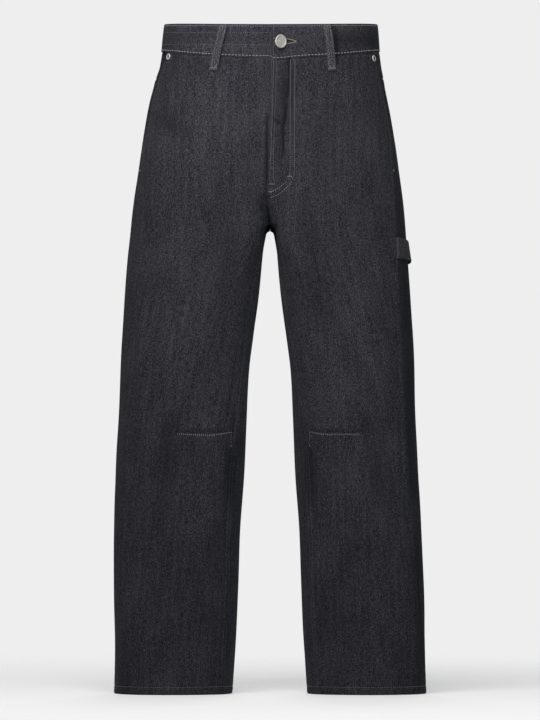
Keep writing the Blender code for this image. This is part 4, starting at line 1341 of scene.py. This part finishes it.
def sew_side_pockets(sewing):
    """Two rows beside each side pocket's mouth."""
    for side in (LEFT, RIGHT):
        z = np.linspace(-36.0, POCKET_END_Z - 2.0, 90)
        theta = mouth_angle(side, z)
        step = np.linalg.norm(cloth_point(side, theta + TURN_STEP, z) - cloth_point(side, theta, z), axis=-1)
        for inward in (2.2, 8.5):
            sewing.row(*on_cloth(side, theta + inward * TURN_STEP / step, z, OVER_SEAM), FINE_STITCH)


def sew_pocket_tacks(sewing):
    """The bartack at the foot of each side pocket's mouth."""
    for side in (LEFT, RIGHT):
        foot = np.linspace(POCKET_END_Z - 6.8, POCKET_END_Z - 9.8, 12)
        sewing.tack(*on_cloth(side, front_edge(side, foot) + 0.02, foot, 0.5), 2.6)


def sew_seat(sewing):
    """Rows beside the yoke seams, the seat seam and round the back pockets."""
    for side in (LEFT, RIGHT):
        for below in (2.4, 8.0):
            angle = np.linspace(side_angle(side, YOKE_SIDE_Z) - 0.02, math.radians(-89.0), 120)
            sewing.row(*on_cloth(side, angle, yoke_line(angle) + below, OVER_SEAM))
        for inset in (2.2, 8.0):
            across, down = pocket_outline(inset)
            theta, z = pocket_place(side, across, down)
            sewing.row(*on_cloth(side, theta, z, POCKET_LIFT + CLOTH))
        for down in (0.075, 0.125):
            across = np.linspace(-0.96, 0.96, 60)
            theta, z = pocket_place(side, across, np.full(60, down))
            sewing.row(*on_cloth(side, theta, z, POCKET_LIFT + CLOTH))
    z = np.linspace(-32.0, -284.0, 120)
    for x in (2.4, 8.0):
        sewing.row(*at_x(np.full(120, x), z, BACK, OVER_SEAM))


def pocket_outline(inset):
    """Down one side of a back pocket, round its point and up the other, inside its edge."""
    edge = 1.0 - inset / (POCKET_WIDTH / 2.0)
    foot = 1.0 - inset / POCKET_HEIGHT
    down = np.linspace(0.02, foot, 40)
    over = np.linspace(-edge, edge, 50)
    across = np.concatenate([np.full(40, -edge), over, np.full(40, edge)])
    return across, np.concatenate([down, np.full(50, foot), down[::-1]])


def sew_hammer_loop(sewing):
    along = np.linspace(0.02, 0.985, 80)
    for down in (0.1, 0.9):
        theta, z, lift = strap_place(along, np.full(80, down))
        sewing.row(*on_cloth(LEFT, theta, z, lift + STRAP_WALL - 0.1), FINE_STITCH)
    down = np.linspace(0.1, 0.9, 40)
    for place in (0.02, 0.985):
        theta, z, lift = strap_place(np.full(40, place), down)
        sewing.tack(*on_cloth(LEFT, theta, z, lift + STRAP_WALL), 2.4)


def sew_buttonhole(sewing):
    """Close threads over the rim of the buttonhole."""
    x = np.linspace(BUTTONHOLE[5].x, BUTTONHOLE[0].x, 50)
    half = hole_half(x)
    rims = ((x, BUTTON_Z + half + 0.5), (x, BUTTON_Z - half - 0.5))
    for rim_x, rim_z in rims:
        points, normals = at_x(rim_x, rim_z, FRONT, BAND_PROUD + ON_BAND)
        sewing.tack(points, normals, 1.7)
    tip_x, tip_z = line_between((35.6, BUTTON_Z), (38.6, BUTTON_Z))
    sewing.tack(*at_x(tip_x, tip_z, FRONT, BAND_PROUD + ON_BAND), 2.6)


# Turned trim: rings of radius and height, from the foot up
Ring = namedtuple("Ring", "radius height")
BUTTON_RINGS = (
    Ring(BUTTON_FOOT_RADIUS, 0.0), Ring(BUTTON_FOOT_RADIUS, 0.6), Ring(2.7, 1.3), Ring(2.5, 2.4),
    Ring(2.5, BUTTON_HEIGHT - 2.7), Ring(4.0, BUTTON_HEIGHT - 2.6), Ring(8.8, BUTTON_HEIGHT - 2.4),
    Ring(9.7, BUTTON_HEIGHT - 2.1), Ring(10.15, BUTTON_HEIGHT - 1.5),
    Ring(BUTTON_RADIUS, BUTTON_HEIGHT - 0.9),
    Ring(9.95, BUTTON_HEIGHT - 0.35), Ring(9.5, BUTTON_HEIGHT - 0.05), Ring(9.0, BUTTON_HEIGHT),
    Ring(8.5, BUTTON_HEIGHT - 0.12), Ring(8.1, BUTTON_HEIGHT - 0.45), Ring(7.6, BUTTON_HEIGHT - 0.6),
    Ring(4.0, BUTTON_HEIGHT - 0.45), Ring(0.4, BUTTON_HEIGHT - 0.4),
)
RIVET_RINGS = (
    Ring(4.9, 0.0), Ring(5.0, 0.3), Ring(4.85, 0.75), Ring(4.4, 1.2), Ring(3.9, 1.42), Ring(3.5, 1.4),
    Ring(3.1, 1.15), Ring(2.75, 0.75), Ring(2.3, 0.68), Ring(1.75, 0.75), Ring(1.5, 1.1), Ring(1.1, 1.35),
    Ring(0.5, 1.45), Ring(0.1, 1.46),
)
TRIM_SIDES = 48
RIVET_EYE = 2.2         # radius inside which a rivet is its darker last finish


def raise_trim(name, rings, place, axis, finishes, node):
    """A round metal piece raised ring by ring from a disc, then stood on the cloth."""
    bpy.ops.object.select_all(action="DESELECT")
    bpy.ops.mesh.primitive_circle_add(vertices=TRIM_SIDES, radius=rings[0].radius * MM, fill_type="NGON")
    piece = bpy.context.active_object
    piece.name = name
    bpy.ops.object.mode_set(mode="EDIT")
    bpy.ops.mesh.select_all(action="SELECT")
    for low, high in zip(rings, rings[1:]):
        rise = (0.0, 0.0, (high.height - low.height) * MM)
        bpy.ops.mesh.extrude_region_move(TRANSFORM_OT_translate={"value": rise})
        swell = high.radius / low.radius
        centre = (0.0, 0.0, high.height * MM)
        bpy.ops.transform.resize(value=(swell, swell, 1.0), center_override=centre)
    bpy.ops.mesh.select_all(action="SELECT")
    bpy.ops.mesh.normals_make_consistent(inside=False)
    bpy.ops.object.mode_set(mode="OBJECT")
    for finish in finishes:
        piece.data.materials.append(finish)
    for face in piece.data.polygons:
        near = face.center.xy.length < RIVET_EYE * MM and face.center.z > 0.0
        face.material_index = len(finishes) - 1 if near else 0
    piece.rotation_mode = "QUATERNION"
    piece.rotation_quaternion = Vector((0.0, 0.0, 1.0)).rotation_difference(Vector(axis))
    piece.location = Vector(place) * MM
    bpy.ops.object.transform_apply(location=True, rotation=True, scale=True)
    bpy.ops.object.shade_smooth_by_angle(angle=math.radians(45.0))
    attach(piece, "root")
    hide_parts(node)


def add_button(finish):
    theta = theta_at_x(LEFT, np.array(BUTTON_FOOT_X), np.array(BUTTON_Z), FRONT)
    point, normal, _ = cloth_frame(LEFT, theta, np.array(BUTTON_Z))
    rim_dip = BUTTON_FOOT_RADIUS * math.sin(BUTTON_TURN)
    foot = point + level(normal) * (BAND_PROUD - UNDERLAP_SHIFT + GAP + rim_dip)
    axis = (math.sin(BUTTON_TURN), -math.cos(BUTTON_TURN), 0.0)
    raise_trim("waist_button", BUTTON_RINGS, foot, axis, (finish,), "button")


def add_rivet(side, x, z, finishes):
    theta = theta_at_x(side, np.array(x), np.array(z), FRONT)
    point, normal, _ = cloth_frame(side, theta, np.array(z))
    name = "pocket_rivet_" + SIDE_NAMES[side]
    foot = point + normal * SEAT_GAP
    raise_trim(name, RIVET_RINGS, foot, tuple(normal), finishes, "rivet_" + SIDE_NAMES[side])


class Wire:
    """A number that runs through a material's nodes; sums and products with it add their own nodes."""

    def __init__(self, recipe, socket):
        self.recipe = recipe
        self.socket = socket

    def math(self, operation, *values):
        return self.recipe.node("ShaderNodeMath", {"operation": operation}, dict(enumerate(values)))["Value"]

    def __add__(self, other):
        return self.math("ADD", self, other)

    def __sub__(self, other):
        return self.math("SUBTRACT", self, other)

    def __rsub__(self, other):
        return self.math("SUBTRACT", other, self)

    def __mul__(self, other):
        return self.math("MULTIPLY", self, other)

    def __truediv__(self, other):
        return self.math("DIVIDE", self, other)

    def sine(self):
        return self.math("SINE", self)

    def root(self):
        return self.math("SQRT", self)

    def held(self):
        """Kept between nought and one."""
        return self.math("MINIMUM", self.math("MAXIMUM", self, 0.0), 1.0)


class Recipe:
    """One material, mixed node by node into its Principled shader."""

    def __init__(self, name):
        self.material = bpy.data.materials.new(name)
        self.material.use_nodes = True
        self.tree = self.material.node_tree
        self.shader = self.tree.nodes["Principled BSDF"]

    def put(self, socket, value):
        if isinstance(value, Wire):
            self.tree.links.new(value.socket, socket)
        else:
            socket.default_value = value

    def node(self, kind, settings, values):
        """A node of that type with its settings and its sockets, by name or place; returns its outputs."""
        made = self.tree.nodes.new(kind)
        for name, value in settings.items():
            setattr(made, name, value)
        for key, value in values.items():
            named = [socket for socket in made.inputs if socket.enabled and socket.name == key]
            self.put(named[0] if named else made.inputs[key], value)
        return {output.name: Wire(self, output) for output in made.outputs if output.enabled}

    def blend(self, factor, first, second):
        made = self.node("ShaderNodeMix", {"data_type": "RGBA"}, {"Factor": factor, "A": first, "B": second})
        return made["Result"]

    def place(self):
        """The cloth's own directions across and up, in millimetres."""
        flat = self.node("ShaderNodeUVMap", {"uv_map": "cloth"}, {})["UV"]
        parts = self.node("ShaderNodeSeparateXYZ", {}, {"Vector": flat})
        return parts["X"] / MM, parts["Y"] / MM

    def clouds(self, across, up, detail=1.0, rough=0.5, seed=0.0):
        """Noise over two directions, about nought to one."""
        spot = self.node("ShaderNodeCombineXYZ", {}, {"X": across, "Y": up, "Z": seed})["Vector"]
        values = {"Vector": spot, "Scale": 1.0, "Detail": detail, "Roughness": rough}
        return self.node("ShaderNodeTexNoise", {}, values)["Fac"]

    def bump(self, height, strength, distance):
        values = {"Height": height, "Strength": strength, "Distance": distance}
        normal = self.node("ShaderNodeBump", {}, values)["Normal"]
        self.tree.links.new(normal.socket, self.shader.inputs["Normal"])

    def set(self, **values):
        """Values of the shader's own sockets, with the spaces of their names written as underscores."""
        for name, value in values.items():
            self.put(self.shader.inputs[name.replace("_", " ")], value)


# the last column is how much of the painted shade and highlight a cloth takes
Denim = namedtuple("Denim", "name warp weft weft_share tone_share")
FACE_DENIM = Denim("raw_denim", (0.0095, 0.0100, 0.0140, 1.0), (0.120, 0.118, 0.135, 1.0), 0.225, 1.0)
LOOP_DENIM = Denim("raw_denim_loops", (0.0095, 0.0100, 0.0140, 1.0), (0.175, 0.172, 0.188, 1.0), 0.30, 0.0)
# a darker copy of the face denim: painted shade for the pocket facings and the fly underlap
SHADE_DENIM = Denim("raw_denim_facing_painted_shade", (0.0060, 0.0065, 0.0105, 1.0), (0.060, 0.062, 0.080, 1.0), 0.15, 0.0)
LINING_DENIM = Denim("denim_reverse", (0.05, 0.052, 0.062, 1.0), (0.25, 0.26, 0.25, 1.0), 0.45, 1.0)
# the navy that painted shade blends the cloth toward
PAINTED_SHADE_NAVY = (0.0040, 0.0045, 0.0085, 1.0)


def mix_denim(kind):
    """Dark warp with pale weft between it: slubs down the cloth, flecks, slow patches and worn seams, with
    painted shade and painted highlight from the tone attribute.
    """
    cloth = Recipe(kind.name)
    across, up = cloth.place()
    yarn = cloth.clouds(across * 0.80, up * 0.12, 1.0, 0.6, 1.0)
    slub = cloth.clouds(across * 0.16, up * 0.016, 2.0, 0.6, 7.0)
    fleck = cloth.clouds(across * 0.85, up * 0.42, 1.0, 0.7, 13.0)
    patch = cloth.clouds(across * 0.016, up * 0.010, 2.0, 0.5, 19.0)
    # painted shade: the tone attribute thins the pale weft and blends toward navy; below nought it is a
    # painted highlight
    tone = cloth.node("ShaderNodeAttribute", {"attribute_name": "tone"}, {})["Fac"] * kind.tone_share
    twill = (across * 5.2 + up * 4.2).sine()
    seam = cloth.node("ShaderNodeAttribute", {"attribute_name": "seam_distance"}, {})["Fac"] / MM
    worn = (1.0 - seam / 1.2).held()
    pale = (yarn - 0.5) * 0.90 + (slub - 0.5) * 0.50 + (fleck - 0.5) * 1.90 + (patch - 0.5) * 0.35
    pale = (pale + twill * 0.04 + worn * 0.08 + kind.weft_share) * (1.0 - tone * 0.75)
    colour = cloth.blend(pale.held(), kind.warp, kind.weft)
    colour = cloth.blend((tone * 0.6).held(), colour, PAINTED_SHADE_NAVY)
    height = twill * 0.35 + yarn * 1.2 + fleck * 1.0 + slub * 0.8
    cloth.bump(height, 0.6, 0.0003)
    cloth.set(Base_Color=colour, Roughness=0.9, Sheen_Weight=0.04, Sheen_Roughness=0.5,
              Sheen_Tint=(0.62, 0.68, 0.90, 1.0), Specular_IOR_Level=0.15)
    return cloth.material


def mix_thread(name, colour, dark):
    """Twisted thread: a slow change of tone and fine ridges."""
    thread = Recipe(name)
    spot = thread.node("ShaderNodeTexCoord", {}, {})["Object"]
    tone = thread.node("ShaderNodeTexNoise", {}, {"Vector": spot, "Scale": 260.0, "Detail": 2.0})["Fac"]
    fibre = thread.node("ShaderNodeTexNoise", {}, {"Vector": spot, "Scale": 3200.0, "Detail": 1.0})["Fac"]
    thread.bump(fibre, 0.5, 0.0001)
    thread.set(Base_Color=thread.blend(tone, dark, colour), Roughness=0.75, Sheen_Weight=0.2)
    return thread.material


def mix_metal(name, colour, dark):
    """Aged silver-coloured metal: a fine grain, with darker patches where a slow noise falls."""
    metal = Recipe(name)
    spot = metal.node("ShaderNodeTexCoord", {}, {})["Object"]
    grain = metal.node("ShaderNodeTexNoise", {}, {"Vector": spot, "Scale": 900.0, "Detail": 3.0})["Fac"]
    age = metal.node("ShaderNodeTexNoise", {}, {"Vector": spot, "Scale": 180.0, "Detail": 2.0})["Fac"]
    metal.bump(grain, 0.25, 0.0001)
    metal.set(Base_Color=metal.blend((age * 1.6 - 0.4).held(), dark, colour), Metallic=0.45,
              Roughness=(grain * 0.25 + 0.36).held())
    return metal.material


PAPER_WHITE = 0.855     # how bright the pale surround looks
SURROUND_LIGHT = 0.16   # how much light comes from it
FLOOR_GLOW = 0.20       # the floor's own light, which lifts it to the surround
FLOOR_REACH = 1.7       # metres to where the floor has faded into the surround

Lamp = namedtuple("Lamp", "name place aim width height power colour")
LAMPS = (
    Lamp("front_softbox", (-0.30, -1.20, 0.80), (0.0, 0.0, -0.15), 1.1, 0.8, 22.5, (1.0, 0.97, 0.99)),
    Lamp("fill_softbox", (0.35, -1.60, -0.30), (0.0, 0.0, -0.42), 0.9, 0.9, 4.8, (0.93, 1.0, 0.99)),
    Lamp("back_softbox", (0.2, 3.0, 0.9), (0.0, 0.0, -0.5), 1.6, 1.2, 40.0, (0.97, 0.98, 1.0)),
)


def add_surround():
    """An even pale surround, brighter to look at than it is as a light."""
    world = bpy.data.worlds.new("studio")
    world.use_nodes = True
    bpy.context.scene.world = world
    tree = world.node_tree
    shown = tree.nodes.new("ShaderNodeBackground")
    shown.inputs["Strength"].default_value = PAPER_WHITE
    lighting = tree.nodes["Background"]
    for background in (shown, lighting):
        background.inputs["Color"].default_value = (1.0, 1.0, 1.0, 1.0)
    lighting.inputs["Strength"].default_value = SURROUND_LIGHT
    rays = tree.nodes.new("ShaderNodeLightPath")
    either = tree.nodes.new("ShaderNodeMixShader")
    tree.links.new(rays.outputs["Is Camera Ray"], either.inputs[0])
    tree.links.new(lighting.outputs[0], either.inputs[1])
    tree.links.new(shown.outputs[0], either.inputs[2])
    tree.links.new(either.outputs[0], tree.nodes["World Output"].inputs["Surface"])


def add_floor():
    """A plain pale floor that fades into the surround."""
    bpy.ops.object.select_all(action="DESELECT")
    bpy.ops.mesh.primitive_circle_add(vertices=96, radius=FLOOR_REACH, fill_type="NGON",
                                      location=(0.0, 0.0, (HEM_Z - 0.4) * MM))
    floor = bpy.context.active_object
    floor.name = "studio_floor"
    paper = Recipe("pale_paper")
    spot = paper.node("ShaderNodeTexCoord", {}, {})["Object"]
    parts = paper.node("ShaderNodeSeparateXYZ", {}, {"Vector": spot})
    far = (parts["X"] * parts["X"] + parts["Y"] * parts["Y"]).root() / FLOOR_REACH
    paper.set(Base_Color=(0.92, 0.92, 0.92, 1.0), Roughness=1.0, Specular_IOR_Level=0.0,
              Emission_Color=(FLOOR_GLOW, FLOOR_GLOW, FLOOR_GLOW, 1.0), Emission_Strength=1.0,
              Alpha=((1.0 - far) * 1.4).held() * 0.85)
    floor.data.materials.append(paper.material)
    floor.visible_diffuse = False


def add_lamps():
    for lamp in LAMPS:
        light = bpy.data.lights.new(lamp.name, "AREA")
        light.shape = "RECTANGLE"
        light.size, light.size_y = lamp.width, lamp.height
        light.energy = lamp.power
        light.color = lamp.colour
        holder = bpy.data.objects.new(lamp.name, light)
        bpy.context.scene.collection.objects.link(holder)
        holder.location = lamp.place
        toward = Vector(lamp.aim) - Vector(lamp.place)
        holder.rotation_euler = toward.to_track_quat("-Z", "Y").to_euler()


CAMERA_DISTANCE = 12.0
VIEW_MIDDLE_Z = -0.4815


def set_camera():
    """Straight on from far in front, as the photograph was framed."""
    lens = bpy.data.cameras.new("front_view")
    lens.lens = 400.0
    lens.sensor_width = 36.0
    lens.clip_end = 60.0
    camera = bpy.data.objects.new("front_view", lens)
    bpy.context.scene.collection.objects.link(camera)
    camera.location = (0.0, -CAMERA_DISTANCE, VIEW_MIDDLE_Z)
    camera.rotation_euler = (math.radians(90.0), 0.0, 0.0)
    bpy.context.scene.camera = camera


bpy.context.scene.view_settings.view_transform = "Standard"
set_camera()
add_surround()
add_floor()
add_lamps()
denim = mix_denim(FACE_DENIM)
# the darker denim of painted shade, for the pieces in the pocket mouths and behind the fly
painted_shade_facing_denim = mix_denim(SHADE_DENIM)
reverse = mix_denim(LINING_DENIM)
loop_denim = mix_denim(LOOP_DENIM)
pale_thread = mix_thread("pale_thread", (0.58, 0.56, 0.58, 1.0), (0.36, 0.35, 0.37, 1.0))
grey_thread = mix_thread("grey_thread", (0.38, 0.37, 0.39, 1.0), (0.22, 0.215, 0.23, 1.0))
dark_thread = mix_thread("dark_thread", (0.10, 0.10, 0.11, 1.0), (0.04, 0.04, 0.045, 1.0))
tan_thread = mix_thread("tan_thread", (0.42, 0.35, 0.26, 1.0), (0.24, 0.195, 0.15, 1.0))
silver = mix_metal("aged_silver", (0.84, 0.82, 0.77, 1.0), (0.55, 0.53, 0.49, 1.0))
dark_metal = mix_metal("dark_metal", (0.10, 0.095, 0.09, 1.0), (0.03, 0.03, 0.03, 1.0))
for body_side in (LEFT, RIGHT):
    add_panels(body_side, (denim, reverse))
    add_pocket_facing(body_side, (painted_shade_facing_denim, reverse))
    add_back_pocket(body_side, (denim, reverse))
add_fly_shield((painted_shade_facing_denim, reverse))
add_waistband((denim, reverse))
for belt_loop in LOOPS:
    add_belt_loop(belt_loop, (loop_denim, loop_denim))
add_hammer_loop((loop_denim, loop_denim))
add_button(silver)
add_rivet(LEFT, 154.9, -30.7, (silver, dark_metal))
add_rivet(RIGHT, -151.3, -28.4, (silver, dark_metal))
for piece_name, sew, thread in (
    ("waistband_stitches", sew_waistband, pale_thread),
    ("belt_loop_stitches", sew_belt_loops, grey_thread),
    ("fly_stitches", sew_fly, grey_thread),
    ("inseam_stitches", sew_legs, dark_thread),
    ("knee_and_hem_stitches", sew_knees_and_hems, grey_thread),
    ("side_pocket_stitches", sew_side_pockets, dark_thread),
    ("side_pocket_bartacks", sew_pocket_tacks, pale_thread),
    ("seat_stitches", sew_seat, grey_thread),
    ("hammer_loop_stitches", sew_hammer_loop, dark_thread),
    ("buttonhole_thread", sew_buttonhole, tan_thread),
):
    stitches = Sewing(piece_name, thread)
    sew(stitches)
    stitches.finish_piece()
